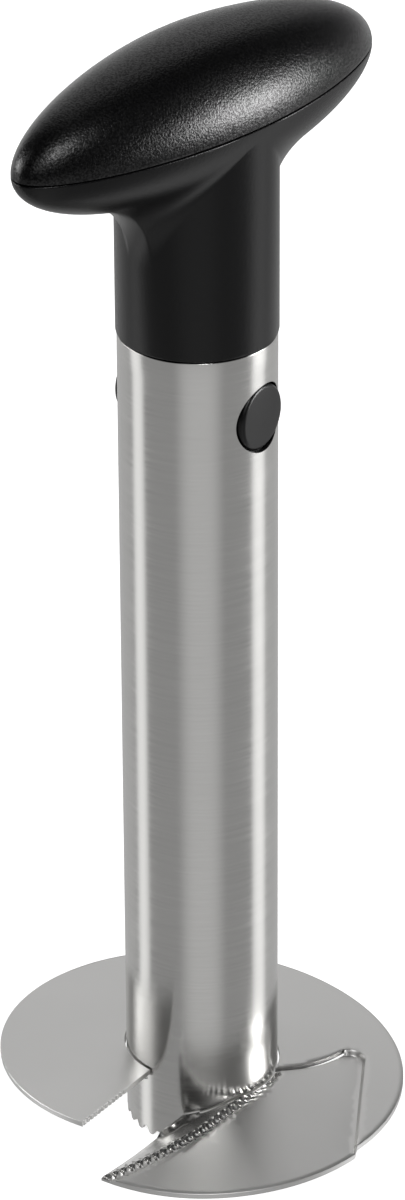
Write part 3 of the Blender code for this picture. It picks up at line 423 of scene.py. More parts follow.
def carve(piece, steps):
    """Joins shapes to a piece or cuts them from it, and settles the result into its mesh."""
    for rings, operation in steps:
        tool = cutter(rings)
        step = piece.modifiers.new(operation, "BOOLEAN")
        step.operation = operation
        step.solver = "EXACT"
        step.object = tool
        graph = bpy.context.evaluated_depsgraph_get()
        mesh = bpy.data.meshes.new_from_object(piece.evaluated_get(graph))
        piece.modifiers.clear()
        piece.data = mesh
        bpy.data.objects.remove(tool)
    smooth(piece.data)


# Slicing blade

def polar(radius, degrees):
    angle = math.radians(degrees)
    return Vector((radius * math.cos(angle), radius * math.sin(angle)))


def turned_degrees(point):
    """The point's direction in degrees, counted up from the tongue's tip and around the ring."""
    start = (TONGUE_TIP_DEG + TRAIL_OUTER_DEG - 360) / 2
    degrees = math.degrees(math.atan2(point.y, point.x))
    return degrees + 360 if degrees < start else degrees


def eased(value, start):
    """How far a value has passed a start, with a soft beginning."""
    passed = value - start + CLIMB_EASE_DEG
    if passed <= 0:
        return 0
    if passed < 2 * CLIMB_EASE_DEG:
        return passed * passed / (4 * CLIMB_EASE_DEG)
    return value - start


def smooth_step(share):
    share = min(max(share, 0), 1)
    return share * share * (3 - 2 * share)


def ring_top(point):
    """Top of the slit ring, without the tongue's drop: straight from the bore's edge to the rim."""
    degrees = turned_degrees(point)
    rim_share = eased(degrees, RIM_CLIMB_START_DEG) / (TRAIL_OUTER_DEG - RIM_CLIMB_START_DEG)
    bore_degrees = eased(degrees, BORE_CLIMB_START_DEG) - eased(degrees, BORE_CLIMB_END_DEG)
    bore_share = bore_degrees / (BORE_CLIMB_END_DEG - BORE_CLIMB_START_DEG)
    rim = BLADE_RIM_LOW + rim_share * (BLADE_RIM_HIGH - BLADE_RIM_LOW)
    bore = BLADE_BORE_LOW + bore_share * (BLADE_BORE_HIGH - BLADE_BORE_LOW)
    outward = (point.length - BLADE_BORE_RADIUS) / (BLADE_RADIUS - BLADE_BORE_RADIUS)
    return bore + outward * (rim - bore)


def turned_left(way):
    return Vector((-way.y, way.x))


def crossed(first, second):
    return first.x * second.y - first.y * second.x


def gap_to_line(point, line):
    """Distance from a point to the nearest place on a row of straight pieces."""
    best = BLADE_RADIUS
    for a, b in zip(line, line[1:]):
        way = b - a
        share = min(max((point - a).dot(way) / way.dot(way), 0), 1)
        best = min(best, (point - a - way * share).length)
    return best


# Where the bend and the slit start, and the directions in which they run
BEND_RIM = polar(BLADE_RADIUS, BEND_RIM_DEG)
BEND_WAY = (polar(BEND_TOP_RADIUS, BEND_TOP_DEG) - BEND_RIM).normalized()
SLIT_START = polar(BLADE_BORE_RADIUS, SLIT_START_DEG)
SLIT_WAY = (polar(SLIT_AIM_RADIUS, SLIT_AIM_DEG) - SLIT_START).normalized()


def corner_center():
    """Middle of the rounded corner where the bend's line and the slit's line meet."""
    corner = BEND_RIM + BEND_WAY * (crossed(SLIT_START - BEND_RIM, SLIT_WAY) / crossed(BEND_WAY, SLIT_WAY))
    back = TONGUE_CORNER_RADIUS / math.tan(math.acos(BEND_WAY.dot(SLIT_WAY)) / 2)
    return corner - BEND_WAY * back + turned_left(BEND_WAY) * TONGUE_CORNER_RADIUS


CORNER_CENTER = corner_center()
SLIT_LENGTH = (CORNER_CENTER - SLIT_START).dot(SLIT_WAY)


def slit_bow(along):
    """How far the slit bows into the tongue, at a distance from its start."""
    share = min(max(along / SLIT_LENGTH, 0), 1)
    return SLIT_BOW * 4 * share * (1 - share)


def slit_spot(back, side):
    """A place so far back from the slit's end, on its ring side (1), its tongue side (-1) or between."""
    along = SLIT_LENGTH - back
    return SLIT_START + SLIT_WAY * along + turned_left(SLIT_WAY) * (side * SLIT_WIDTH / 2 - slit_bow(along))


def bend_start(inset):
    """Where the bend's line, drawn in by an inset, meets the rim."""
    start = BEND_RIM + turned_left(BEND_WAY) * inset
    along = start.dot(BEND_WAY)
    return start - BEND_WAY * (along + math.sqrt(along * along - start.dot(start) + BLADE_RADIUS ** 2))


def bend_corner(inset):
    """Points around the bend's corner, drawn in by an inset, up to the slit."""
    turn = math.acos(BEND_WAY.dot(-SLIT_WAY))
    points = []
    for i in range(BEND_CORNER_STEPS):
        angle = turn * i / BEND_CORNER_STEPS
        way = BEND_WAY * math.sin(angle) - turned_left(BEND_WAY) * math.cos(angle)
        points.append(CORNER_CENTER + way * (TONGUE_CORNER_RADIUS - inset))
    if inset == 0:
        return points + [slit_spot(-SLIT_WIDTH / 2, 0)]
    end = slit_spot(0, 0)
    away = -turned_left(SLIT_WAY) * inset
    return points + [end + away, end + (away - SLIT_WAY * inset) / math.sqrt(2), slit_spot(inset, -1)]


def bend_curve(inset):
    """Points along the bend from the rim to the slit, drawn in by an inset."""
    start = bend_start(inset)
    corner = bend_corner(inset)
    return [start] + spaced(start, corner[0], BLADE_GRID_SPACING) + corner


def bend_distance(point, curve):
    """Distance from the bend's outer line, counted inward on the tongue; zero on the ring."""
    inside_bend = (point - BEND_RIM).dot(turned_left(BEND_WAY)) > 0
    from_slit = point - SLIT_START
    inside_slit = from_slit.dot(turned_left(SLIT_WAY)) < -slit_bow(from_slit.dot(SLIT_WAY))
    if turned_degrees(point) > TRAIL_INNER_DEG - 180 or not inside_bend or not inside_slit:
        return 0
    from_center = point - CORNER_CENTER
    if from_center.dot(BEND_WAY) > 0 and from_center.dot(SLIT_WAY) > 0:
        return max(TONGUE_CORNER_RADIUS - from_center.length, 0)
    return gap_to_line(point, curve)


def blade_top(point, curve):
    """Top of the blade anywhere: the ring's level, the tongue's drop, its lifted tip and its lip."""
    outward = (point.length - BLADE_BORE_RADIUS) / (BLADE_RADIUS - BLADE_BORE_RADIUS)
    full_drop = TONGUE_DROP_BORE + outward * (TONGUE_DROP_RIM - TONGUE_DROP_BORE)
    drop = full_drop * smooth_step(bend_distance(point, curve) / TONGUE_BEND_WIDTH)
    degrees = turned_degrees(point)
    lift_share = max(0, TONGUE_LIFT_START_DEG - degrees) / (TONGUE_LIFT_START_DEG - TONGUE_TIP_DEG)
    beyond, travelled = beside_flutes(point)
    lip = math.tan(math.radians(LIP_TURN_DEG)) * max(beyond - FLUTE_REACH, 0) if travelled > 0 else 0
    return ring_top(point) - drop + TONGUE_TIP_LIFT * lift_share * lift_share - lip


# The flutes run around the tube at first, and then along a wide bow
FLUTES_AROUND_TUBE = math.radians(SLIT_START_DEG - FLUTES_LEAVE_TUBE_DEG) * FLUTE_TUBE_RADIUS
FLUTE_BOW_CENTER = polar(FLUTE_TUBE_RADIUS - FLUTE_BOW_RADIUS, FLUTES_LEAVE_TUBE_DEG)


def flute_spot(travelled):
    """A place on the line of flutes, so far from the slit, and the way into the tongue there."""
    if travelled < FLUTES_AROUND_TUBE:
        inward = polar(1, SLIT_START_DEG - math.degrees(travelled / FLUTE_TUBE_RADIUS))
        return inward * FLUTE_TUBE_RADIUS, inward
    bowed = math.degrees((travelled - FLUTES_AROUND_TUBE) / FLUTE_BOW_RADIUS)
    inward = polar(1, FLUTES_LEAVE_TUBE_DEG - bowed)
    return FLUTE_BOW_CENTER + inward * FLUTE_BOW_RADIUS, inward


def beside_flutes(point):
    """How far a point lies beyond the line of flutes, towards the edge, and its place along it."""
    if turned_degrees(point) > FLUTES_LEAVE_TUBE_DEG:
        travelled = math.radians(SLIT_START_DEG - turned_degrees(point)) * FLUTE_TUBE_RADIUS
        return FLUTE_TUBE_RADIUS - point.length, travelled
    way = point - FLUTE_BOW_CENTER
    bowed = math.radians(FLUTES_LEAVE_TUBE_DEG) - math.atan2(way.y, way.x)
    return FLUTE_BOW_RADIUS - way.length, FLUTES_AROUND_TUBE + bowed * FLUTE_BOW_RADIUS


def flute_share(travelled):
    """1 in the middle of a flute and 0 on the ridges between the flutes."""
    return abs(math.sin(math.pi * travelled / FLUTE_PITCH))


def flute_reach(travelled):
    """Half of the band's width at a place along it."""
    return FLUTE_REACH * (FLUTE_RIDGE_SHARE + (1 - FLUTE_RIDGE_SHARE) * flute_share(travelled))


def ground_drop(point):
    """How far the flutes and the bevel lie under the tongue's top, which is nothing elsewhere."""
    beyond, travelled = beside_flutes(point)
    reach = flute_reach(travelled)
    if travelled < 0 or beyond <= -reach:
        return 0
    across = min((beyond + reach) / (2 * reach), 1)
    hollow = FLUTE_HOLLOW * flute_share(travelled) * 4 * across * (1 - across)
    bevel_share = min(max((beyond - FLUTE_REACH) / (BEVEL_WIDTH - FLUTE_REACH), 0), 1)
    return FLUTE_DROP * across + hollow + bevel_share * (BLADE_THICKNESS - EDGE_THICKNESS - FLUTE_DROP)


def line_gaps(points, line):
    """Distance of many points from a row of straight pieces."""
    places = np.array(points, float)
    best = np.full(len(places), BLADE_RADIUS)
    for a, b in zip(line, line[1:]):
        start, way = np.array(a), np.array(b - a)
        share = np.clip((places - start) @ way / (way @ way), 0, 1)
        gaps = np.linalg.norm(places - start - share[:, None] * way, axis=1)
        best = np.minimum(best, gaps)
    return best


def inside(points, outline):
    """Which points lie inside a closed outline."""
    places = np.array(points, float)
    hits = np.zeros(len(places), bool)
    for a, b in zip(outline, outline[1:] + outline[:1]):
        if a.y == b.y:
            continue
        level = (a.y > places[:, 1]) != (b.y > places[:, 1])
        cross = a.x + (b.x - a.x) * (places[:, 1] - a.y) / (b.y - a.y)
        hits ^= level & (places[:, 0] < cross)
    return hits


def clear_points(points, outline, lines, gap):
    """The points inside the outline that keep their distance from it and from the lines."""
    if not points:
        return []
    keep = inside(points, outline)
    for line in [outline + outline[:1], *lines]:
        if len(line) > 1:
            keep &= line_gaps(points, line) > gap
    return [p for p, kept in zip(points, keep) if kept]


def rim_arc(radius, start, end):
    """Points on a circle, spaced by about one step of the blade's columns."""
    steps = max(1, round(abs(end - start) / BLADE_STEP_DEG))
    return [polar(radius, start + (end - start) * i / steps) for i in range(steps + 1)]


def spaced(start, end, spacing):
    """Points on a straight line, without its two ends."""
    steps = max(1, round((end - start).length / spacing))
    return [start.lerp(end, i / steps) for i in range(1, steps)]


def trailing_end():
    """The ring's trailing end, from its tip inwards, with small rounded notches in its outer part."""
    tip = polar(BLADE_RADIUS, TRAIL_OUTER_DEG)
    inner = polar(BLADE_BORE_RADIUS, TRAIL_INNER_DEG)
    into_ring = turned_left((tip - inner).normalized()) * -TRAIL_NOTCH_DEPTH
    line = spaced(tip, inner, TRAIL_NOTCH_PITCH / NOTCH_STEPS)
    notched = round(len(line) * TRAIL_NOTCHED_SHARE / NOTCH_STEPS) * NOTCH_STEPS
    points = []
    for i, place in enumerate(line):
        depth = 0
        if i < notched:
            depth = max(0, math.sin(2 * math.pi * i / NOTCH_STEPS))
        points.append(place + into_ring * depth)
    return points


def blade_rim():
    """The rim from the tongue's tip to the trailing end, with points where the bend's lines meet it."""
    meets = [bend_start(TONGUE_BEND_WIDTH * share) for share in reversed(BEND_GUIDE_SHARES)]
    tongue_rim = rim_arc(BLADE_RADIUS, TONGUE_TIP_DEG, turned_degrees(meets[0]))
    ring_rim = rim_arc(BLADE_RADIUS, turned_degrees(meets[-1]), TRAIL_OUTER_DEG)
    return tongue_rim + meets[1:-1] + ring_rim


def slit_sides():
    """Both sides of the slit, from the bore around its end and back."""
    steps = round(SLIT_LENGTH / BLADE_GRID_SPACING)
    ring_side = [slit_spot(SLIT_LENGTH * (1 - step / steps), 1) for step in range(steps + 1)]
    tongue_side = [slit_spot(TONGUE_BEND_WIDTH * share, -1) for share in BEND_GUIDE_SHARES]
    rest = SLIT_LENGTH - TONGUE_BEND_WIDTH
    steps = round(rest / BLADE_GRID_SPACING)
    for step in range(1, steps + 1):
        tongue_side.append(slit_spot(TONGUE_BEND_WIDTH + rest * step / steps, -1))
    return [*ring_side, slit_spot(-SLIT_WIDTH / 2, 0), *tongue_side]


def fluted_bore(start):
    """The tongue's bore from the slit to the cutting edge, with points at each step of the flutes."""
    points = []
    spacing = FLUTE_PITCH / FLUTE_STEPS * BLADE_BORE_RADIUS / FLUTE_TUBE_RADIUS
    degrees = start
    while degrees > EDGE_INNER_DEG:
        points.append(polar(BLADE_BORE_RADIUS, degrees))
        degrees -= math.degrees(spacing / BLADE_BORE_RADIUS)
    return points[1:] + [polar(BLADE_BORE_RADIUS, EDGE_INNER_DEG)]


def blade_outline():
    """The blade's flat outline, counter-clockwise from the tongue's tip."""
    slit = slit_sides()
    outline = blade_rim() + trailing_end()
    outline += rim_arc(BLADE_BORE_RADIUS, TRAIL_INNER_DEG, turned_degrees(slit[0]))[:-1] + slit
    outline += fluted_bore(turned_degrees(slit[-1]))
    return outline + spaced(outline[-1], outline[0], BLADE_GRID_SPACING)


def flute_line(side):
    """Points along the flutes, from the tongue's side (-1) to the bevel's side (1)."""
    spacing = FLUTE_PITCH / FLUTE_STEPS
    points = []
    while not points or points[-1].length < BLADE_RADIUS:
        travelled = len(points) * spacing
        place, inward = flute_spot(travelled)
        points.append(place - inward * (flute_reach(travelled) * side))
    return points


def blade_guides(outline):
    """Lines along the bend and the flutes, which the triangles follow. The bend's end on the outline."""
    lines = []
    for share in BEND_GUIDE_SHARES:
        line = bend_curve(TONGUE_BEND_WIDTH * share)
        lines.append([line[0], *clear_points(line[1:-1], outline, [], GUIDE_CLEARANCE), line[-1]])
    for side in FLUTE_LINE_SHARES:
        lines.append(clear_points(flute_line(side), outline, [], GUIDE_CLEARANCE / 2))
    return lines


def grid_points(outline, lines):
    """Points between the blade's bore and rim, clear of the outline and of the guide lines."""
    rings = round((BLADE_RADIUS - BLADE_BORE_RADIUS) / BLADE_GRID_SPACING)
    points = []
    for ring in range(1, rings):
        radius = BLADE_BORE_RADIUS + (BLADE_RADIUS - BLADE_BORE_RADIUS) * ring / rings
        shift = BLADE_STEP_DEG * (ring % 2)
        arc = rim_arc(radius, TONGUE_TIP_DEG + shift, TRAIL_OUTER_DEG + shift)
        points += arc[::2]
    return clear_points(points, outline, lines, BLADE_GRID_SPACING / 2)


def blade_plan():
    """The blade's flat points and triangles."""
    outline = blade_outline()
    lines = blade_guides(outline)
    points = list(outline)
    edges = []
    for line in lines:
        edges += [(len(points) + i, len(points) + i + 1) for i in range(len(line) - 1)
                  if (line[i + 1] - line[i]).length < 2 * BLADE_GRID_SPACING]
        points += line
    points += grid_points(outline, lines)
    keep_inside = 1
    flat = delaunay_2d_cdt(points, edges, [list(range(len(outline)))], keep_inside,
                           SEAT_GAP * PLAN_TOLERANCE_SHARE)
    return flat[0], flat[2]


def rim_pairs(triangles):
    """The free edges of a sheet, each in its triangle's order."""
    pairs = set()
    for a, b, c in triangles:
        pairs.update(((a, b), (b, c), (c, a)))
    return sorted((a, b) for a, b in pairs if (b, a) not in pairs)


def edge_ways(places, pairs):
    """The outward direction at each point of the sheet's free edges."""
    ways = {}
    for a, b in pairs:
        out = -turned_left((places[b] - places[a]).normalized())
        for i in (a, b):
            ways[i] = ways.get(i, Vector((0, 0))) + out
    return {i: way.normalized() for i, way in ways.items()}


def slit_walls_painted_shade(places, pairs):
    """Numbers of the free edges that lie along the slit, whose shear-cut walls get the darkened steel that
    paints the shade in the slit's gap.
    """
    line = [slit_spot(SLIT_LENGTH * step / SLIT_LINE_STEPS, 0) for step in range(SLIT_LINE_STEPS + 1)]
    middles = [(places[a] + places[b]) / 2 for a, b in pairs]
    return [row for row, gap in enumerate(line_gaps(middles, line)) if gap < SLIT_WIDTH]


def make_blade(materials):
    """A sheet with broken edges. Its ground flutes and bevel are brighter; the walls of its shear-cut slit
    are rougher and painted darker, as shade in the slit's gap.
    """
    places, triangles = blade_plan()
    curve = bend_curve(0)
    pairs = rim_pairs(triangles)
    ways = edge_ways(places, pairs)
    count = len(places)
    tops, bottoms, grounds = [], [], []
    for i, place in enumerate(places):
        level, ground = blade_top(place, curve), ground_drop(place)
        spot = place - ways[i] * SHEET_EDGE_BREAK if i in ways else place
        tops.append((spot.x, spot.y, level - ground))
        bottoms.append((spot.x, spot.y, level - BLADE_THICKNESS))
        grounds.append(ground > 0)
    numbers = {i: row for row, i in enumerate(sorted(ways))}
    upper, lower = [], []
    for i in sorted(ways):
        place = places[i]
        upper.append((place.x, place.y, tops[i][2] - SHEET_EDGE_BREAK))
        lower.append((place.x, place.y, bottoms[i][2] + SHEET_EDGE_BREAK))
    first, second = 2 * count, 2 * count + len(upper)
    faces = []
    for a, b, c in triangles:
        faces.append((a, b, c))
        faces.append((count + a, count + c, count + b))
    for a, b in pairs:
        i, j = numbers[a], numbers[b]
        faces.append((a, first + i, first + j, b))
        faces.append((first + i, second + i, second + j, first + j))
        faces.append((second + i, count + a, count + b, second + j))
    walls = slit_walls_painted_shade(places, pairs)
    blade = mesh_piece("blade_sheet", tops + bottoms + upper + lower, faces, materials, "slicer",
                       "blade_steel")
    for polygon in blade.data.polygons:
        if all(i < count and grounds[i] for i in polygon.vertices):
            polygon.material_index = GROUND_SLOT
    # The slit's walls take the darkened steel, painted shade of the slit's gap.
    wall_start = len(faces) - 3 * len(pairs)
    for row in walls:
        for step in range(3):
            blade.data.polygons[wall_start + 3 * row + step].material_index = SLIT_PAINTED_SHADE_SLOT
    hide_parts("slicing_blade")


# Grip

def plan_radius(angle, half_length, half_width):
    """Distance from the axis to the grip's lemon-shaped outline in one direction."""
    along, across = abs(math.sin(angle)), abs(math.cos(angle))
    low, high = 0, half_length / max(along, half_width / half_length)
    for _ in range(OUTLINE_HALVINGS):
        middle = (low + high) / 2
        share = middle * along / half_length
        width = 0
        if share < 1:
            width = half_width * math.sqrt(1 - share * share) * (1 - GRIP_TIP_SLIM_SHARE * share * share)
        if middle * across < width:
            low = middle
        else:
            high = middle
    return low


def grip_angles():
    """Column directions, closer together at the grip's tips."""
    stretch = math.sqrt(GRIP_HALF_LENGTH / GRIP_HALF_WIDTH)
    angles = []
    for i in range(GRIP_COLUMNS):
        turn = 2 * math.pi * i / GRIP_COLUMNS
        angles.append(math.atan2(stretch * math.sin(turn), math.cos(turn)))
    return angles


def dome(share):
    """Height of a dome above its rim, as a share, at a share of the way out."""
    return (1 - min(share, 1) ** 2) ** DOME_POWER_SHARE


def grip_ring(radii, levels):
    ring = []
    turn = math.radians(GRIP_TURN_DEG)
    for angle, radius, level in zip(grip_angles(), radii, levels):
        ring.append((radius * math.cos(angle + turn), radius * math.sin(angle + turn), level))
    return ring


def even_ring(radii, level):
    return grip_ring(radii, [level] * GRIP_COLUMNS)


def inset_outline(inset):
    return [plan_radius(a, GRIP_HALF_LENGTH - inset, GRIP_HALF_WIDTH - inset) for a in grip_angles()]


def dome_rings(radii, level, height, shares):
    rings = []
    for share in shares:
        rings.append(even_ring([r * share for r in radii], level + height * dome(share)))
    return rings


def belly_rings(outline):
    """The neck's fillet and the grip's underside, out to the parting line."""
    rings = []
    widths = [min(NECK_FILLET, (r - NECK_RADIUS) / 2) for r in outline]

    def underside(radius, edge):
        return SEAM_LEVEL - GRIP_BELLY * dome(radius / edge)

    for row in range(FILLET_ROWS):
        share = (row / (FILLET_ROWS - 1)) ** 2
        radii, levels = [], []
        for edge, width in zip(outline, widths):
            radius = NECK_RADIUS + width * share
            drop = width * NECK_FILLET_DROP_SHARE * (1 - math.sqrt(1 - (1 - share) ** 2))
            radii.append(radius)
            levels.append(underside(radius, edge) - drop)
        rings.append(grip_ring(radii, levels))
    for row in range(1, BELLY_ROWS + 1):
        radii, levels = [], []
        for edge, width in zip(outline, widths):
            start = math.asin((NECK_RADIUS + width) / edge)
            turn = start + (math.pi / 2 - start) * row / BELLY_ROWS
            radii.append(edge * math.sin(turn))
            levels.append(underside(radii[-1], edge))
        if row == BELLY_ROWS:
            levels = [SEAM_LEVEL - SEAM_BREAK] * GRIP_COLUMNS
        rings.append(grip_ring(radii, levels))
    return rings


# Core tube

def foot_level(column):
    """Level of the foot's edge: a flat tip, a flank, a flat gullet and a flank in each tooth."""
    quarter = column % COLUMNS_PER_FOOT_TOOTH / COLUMNS_PER_FOOT_TOOTH * 4
    if quarter <= 1:
        return 0
    if quarter >= 3:
        return FOOT_TOOTH_DEPTH * (1 - smooth_step(quarter - 3))
    return FOOT_TOOTH_DEPTH * smooth_step(min(quarter - 1, 1))


def tube_ring(radius, level_at):
    columns = FOOT_TOOTH_COUNT * COLUMNS_PER_FOOT_TOOTH
    ring = []
    for i in range(columns):
        angle = 2 * math.pi * i / columns
        ring.append((radius * math.cos(angle), radius * math.sin(angle), level_at(i)))
    return ring


def flat_ring(radius, level):
    return tube_ring(radius, lambda column: level)


def tube_levels():
    """Heights of the tube's rows, close together around the button holes."""
    low, high = BUTTON_LEVEL - HOLE_ZONE_HALF, BUTTON_LEVEL + HOLE_ZONE_HALF
    start = 2 * FOOT_TOOTH_DEPTH
    long_rows = round((low - start) / TUBE_LONG_ROW)
    short_rows = round((high - low) / TUBE_ROW)
    levels = [start + (low - start) * i / long_rows for i in range(long_rows)]
    levels += [low + (high - low) * i / short_rows for i in range(short_rows + 1)]
    return levels


def make_tube(materials):
    levels = tube_levels()
    rings = [tube_ring(TUBE_BORE_RADIUS, foot_level), tube_ring(TUBE_RADIUS, foot_level)]
    rings += [flat_ring(TUBE_RADIUS, level) for level in levels]
    for share in TUBE_TOP_SHARES:
        turn = math.pi / 2 * share
        radius = TUBE_RADIUS - TUBE_TOP_ROUND * (1 - math.cos(turn))
        rings.append(flat_ring(radius, TUBE_TOP - TUBE_TOP_ROUND * (1 - math.sin(turn))))
    rings.append(flat_ring(TUBE_BORE_RADIUS, TUBE_TOP))
    rings += [flat_ring(TUBE_BORE_RADIUS, level) for level in reversed(levels)]
    tube = mesh_piece("tube_body", *loft(rings), materials, "slicer", "tube_steel")
    reach = TUBE_RADIUS + CUT_OVERRUN
    radius = BUTTON_RADIUS + BUTTON_HOLE_GAP
    profile = [(0, -reach), (radius, -reach), (radius, reach), (0, reach)]
    carve(tube, [(along_x(turned_rings(profile, BUTTON_COLUMNS), 1, BUTTON_LEVEL), "DIFFERENCE")])
    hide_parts("core_tube")


# Weld beads

def bead_ring(share, radius, degrees, level):
    """One cross section of a bead, which narrows towards its ends and is rippled along its length."""
    along = math.sin(math.pi / 2 * share)
    size = math.cos(math.pi / 2 * share)
    ripple = 1 - TACK_RIPPLE_SHARE * (1 - math.cos(2 * math.pi * TACK_RIPPLES * along)) / 2
    turn = math.degrees(TACK_LENGTH / 2 * along / radius)
    ring = []
    for i in range(TACK_COLUMNS if abs(share) < 1 else 1):
        angle = 2 * math.pi * i / TACK_COLUMNS
        outward = TACK_WIDTH / 2 * size * ripple * math.cos(angle)
        spot = polar(radius + outward, degrees + turn)
        ring.append((spot.x, spot.y, level + TACK_HEIGHT / 2 * size * ripple * math.sin(angle)))
    return ring


def make_beads(materials):
    """The beads in the corner between the blade's bore and the tube."""
    for number, degrees in enumerate(TACK_DEGREES, start=1):
        radius = TUBE_RADIUS + SEAT_GAP + TACK_WIDTH / 2
        reach = math.degrees(TACK_LENGTH / radius / 2)
        lowest = min(ring_top(polar(radius, degrees + turn)) for turn in (-reach, reach))
        level = lowest - BLADE_THICKNESS - SEAT_GAP - TACK_HEIGHT / 2
        rings = [bead_ring(2 * row / TACK_ROWS - 1, radius, degrees, level) for row in range(TACK_ROWS + 1)]
        bead = mesh_piece(f"weld_bead_{number}", *loft(rings, poles=True), materials, "slicer",
                          "blade_steel")
        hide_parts(f"weld_tack_{number}")


# Handle

def cover_screw_places():
    """Places of the two screws that hold the cover."""
    return [polar(COVER_SCREW_SPREAD, 90 * side + GRIP_TURN_DEG) for side in (-1, 1)]


def make_handle_base(materials):
    outline = inset_outline(0)
    ledge = inset_outline(SHELL_WALL)
    pocket = inset_outline(SHELL_WALL + LEDGE_WIDTH)
    bore = [NECK_BORE_RADIUS] * GRIP_COLUMNS
    rings = [[(0, 0, FLOOR_UNDER)], even_ring(bore, FLOOR_UNDER), even_ring(bore, NECK_BOTTOM)]
    for share in NECK_EDGE_SHARES:
        turn = math.pi / 2 * share
        radius = NECK_RADIUS - NECK_CHAMFER * (1 - math.sin(turn))
        level = NECK_BOTTOM + NECK_CHAMFER * (1 - math.cos(turn))
        rings.append(even_ring([radius] * GRIP_COLUMNS, level))
    rings += belly_rings(outline)
    for share in SEAM_ROUND_SHARES:
        turn = math.pi / 2 * share
        inset = SEAM_BREAK * (1 - math.cos(turn))
        level = SEAM_LEVEL - SEAM_BREAK * (1 - math.sin(turn))
        rings.append(even_ring([r - inset for r in outline], level))
    rings += [even_ring(ledge, SEAM_LEVEL), even_ring(ledge, RECESS_LEVEL), even_ring(pocket, RECESS_LEVEL)]
    rings += dome_rings(pocket, RECESS_LEVEL, -POCKET_DEPTH, INNER_DOME_SHARES)
    rings.append([(0, 0, FLOOR_TOP)])
    base = mesh_piece("grip_base", *loft(rings, poles=True), materials, "slicer", "handle_plastic")
    hole_top = BOSS_BOTTOM + HANDLE_SCREW_GRIP + CUT_OVERRUN
    steps = [(column(HANDLE_BOSS_RADIUS, BOSS_BOTTOM, (FLOOR_UNDER + FLOOR_TOP) / 2), "UNION"),
             (column(HANDLE_SCREW_RADIUS + SEAT_GAP, BOSS_BOTTOM - CUT_OVERRUN, hole_top), "DIFFERENCE")]
    for place in cover_screw_places():
        hole = column(COVER_SCREW_RADIUS + SEAT_GAP, FLOOR_UNDER - CUT_OVERRUN,
                      FLOOR_TOP + POCKET_DEPTH, place)
        steps.append((hole, "DIFFERENCE"))
    carve(base, steps)
    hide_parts("handle_base")


def make_handle_cover(materials):
    outline = inset_outline(0)
    lip_outer = inset_outline(SHELL_WALL + SEAT_GAP)
    lip_inner = inset_outline(SHELL_WALL + SEAT_GAP + LIP_WALL)
    shares = [math.sin(math.pi / 2 * row / CROWN_ROWS) for row in range(1, CROWN_ROWS)]
    rings = [[(0, 0, COVER_LEVEL + GRIP_CROWN)]]
    rings += dome_rings(outline, COVER_LEVEL, GRIP_CROWN, shares)
    lip_level = COVER_LEVEL - LIP_LENGTH
    rings += [even_ring(outline, COVER_LEVEL + COVER_SEAM_BREAK),
              even_ring([r - COVER_SEAM_BREAK for r in outline], COVER_LEVEL),
              even_ring(lip_outer, COVER_LEVEL), even_ring(lip_outer, lip_level),
              even_ring(lip_inner, lip_level), even_ring(lip_inner, COVER_LEVEL)]
    rings += dome_rings(lip_inner, COVER_LEVEL, GRIP_CROWN - SHELL_WALL, INNER_DOME_SHARES)
    rings.append([(0, 0, COVER_LEVEL + GRIP_CROWN - SHELL_WALL)])
    cover = mesh_piece("grip_cover", *loft(rings, poles=True), materials, "slicer", "handle_plastic")
    spread_share = COVER_SCREW_SPREAD / GRIP_HALF_LENGTH
    roof = COVER_LEVEL + (GRIP_CROWN - SHELL_WALL) * dome(spread_share) + SHELL_WALL / 2
    pocket_edge = inset_outline(SHELL_WALL + LEDGE_WIDTH)[GRIP_COLUMNS // 4]
    floor = RECESS_LEVEL - POCKET_DEPTH * dome((COVER_SCREW_SPREAD + COVER_BOSS_RADIUS) / pocket_edge)
    steps = []
    for place in cover_screw_places():
        steps.append((column(COVER_BOSS_RADIUS, floor + COVER_BOSS_GAP, roof, place), "UNION"))
        hole_top = FLOOR_UNDER + COVER_SCREW_LENGTH + CUT_OVERRUN
        steps.append((column(COVER_SCREW_RADIUS + SEAT_GAP, floor, hole_top, place), "DIFFERENCE"))
    carve(cover, steps)
    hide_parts("handle_cover")


# Release buttons and their springs

def button_profile():
    """Radius and reach of a button, from the crown of its face to the bottom of its spring pocket."""
    edge = BUTTON_CROWN_RADIUS - BUTTON_FACE_FALL
    flat_radius = BUTTON_RADIUS - BUTTON_EDGE_ROUNDING
    profile = []
    for row in range(BUTTON_FACE_ROWS + 1):
        share = row / BUTTON_FACE_ROWS
        profile.append((flat_radius * share, BUTTON_CROWN_RADIUS - BUTTON_FACE_FALL * share * share))
    for row in range(1, BUTTON_EDGE_ROWS + 1):
        turn = math.pi / 2 * row / BUTTON_EDGE_ROWS
        profile.append((flat_radius + BUTTON_EDGE_ROUNDING * math.sin(turn),
                        edge - BUTTON_EDGE_ROUNDING * (1 - math.cos(turn))))
    pocket_end = BUTTON_CROWN_RADIUS - BUTTON_FACE_THICKNESS
    return profile + [(BUTTON_RADIUS, FLANGE_FACE), (BUTTON_FLANGE_RADIUS, FLANGE_FACE),
                      (BUTTON_FLANGE_RADIUS, FLANGE_BACK), (SPRING_POCKET_RADIUS, FLANGE_BACK),
                      (SPRING_POCKET_RADIUS, pocket_end), (0, pocket_end)]


def make_button(side, name, materials):
    rings = along_x(turned_rings(button_profile(), BUTTON_COLUMNS), side, BUTTON_LEVEL)
    button = mesh_piece(f"push_button_{name}", *loft(rings, poles=True), materials, f"button_{name}",
                        "button_plastic")
    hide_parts(f"release_button_{name}")


def spring_point(share):
    """A place on the coil's middle line, which closes up towards both ends."""
    length = SPRING_OUTER_END - SPRING_INNER_END - 2 * SPRING_WIRE_RADIUS
    soft = share - SPRING_END_CLOSING_SHARE * math.sin(2 * math.pi * share)
    angle = 2 * math.pi * SPRING_TURNS * share
    return Vector((SPRING_COIL_RADIUS * math.cos(angle), SPRING_COIL_RADIUS * math.sin(angle),
                   SPRING_INNER_END + SPRING_WIRE_RADIUS + length * soft))


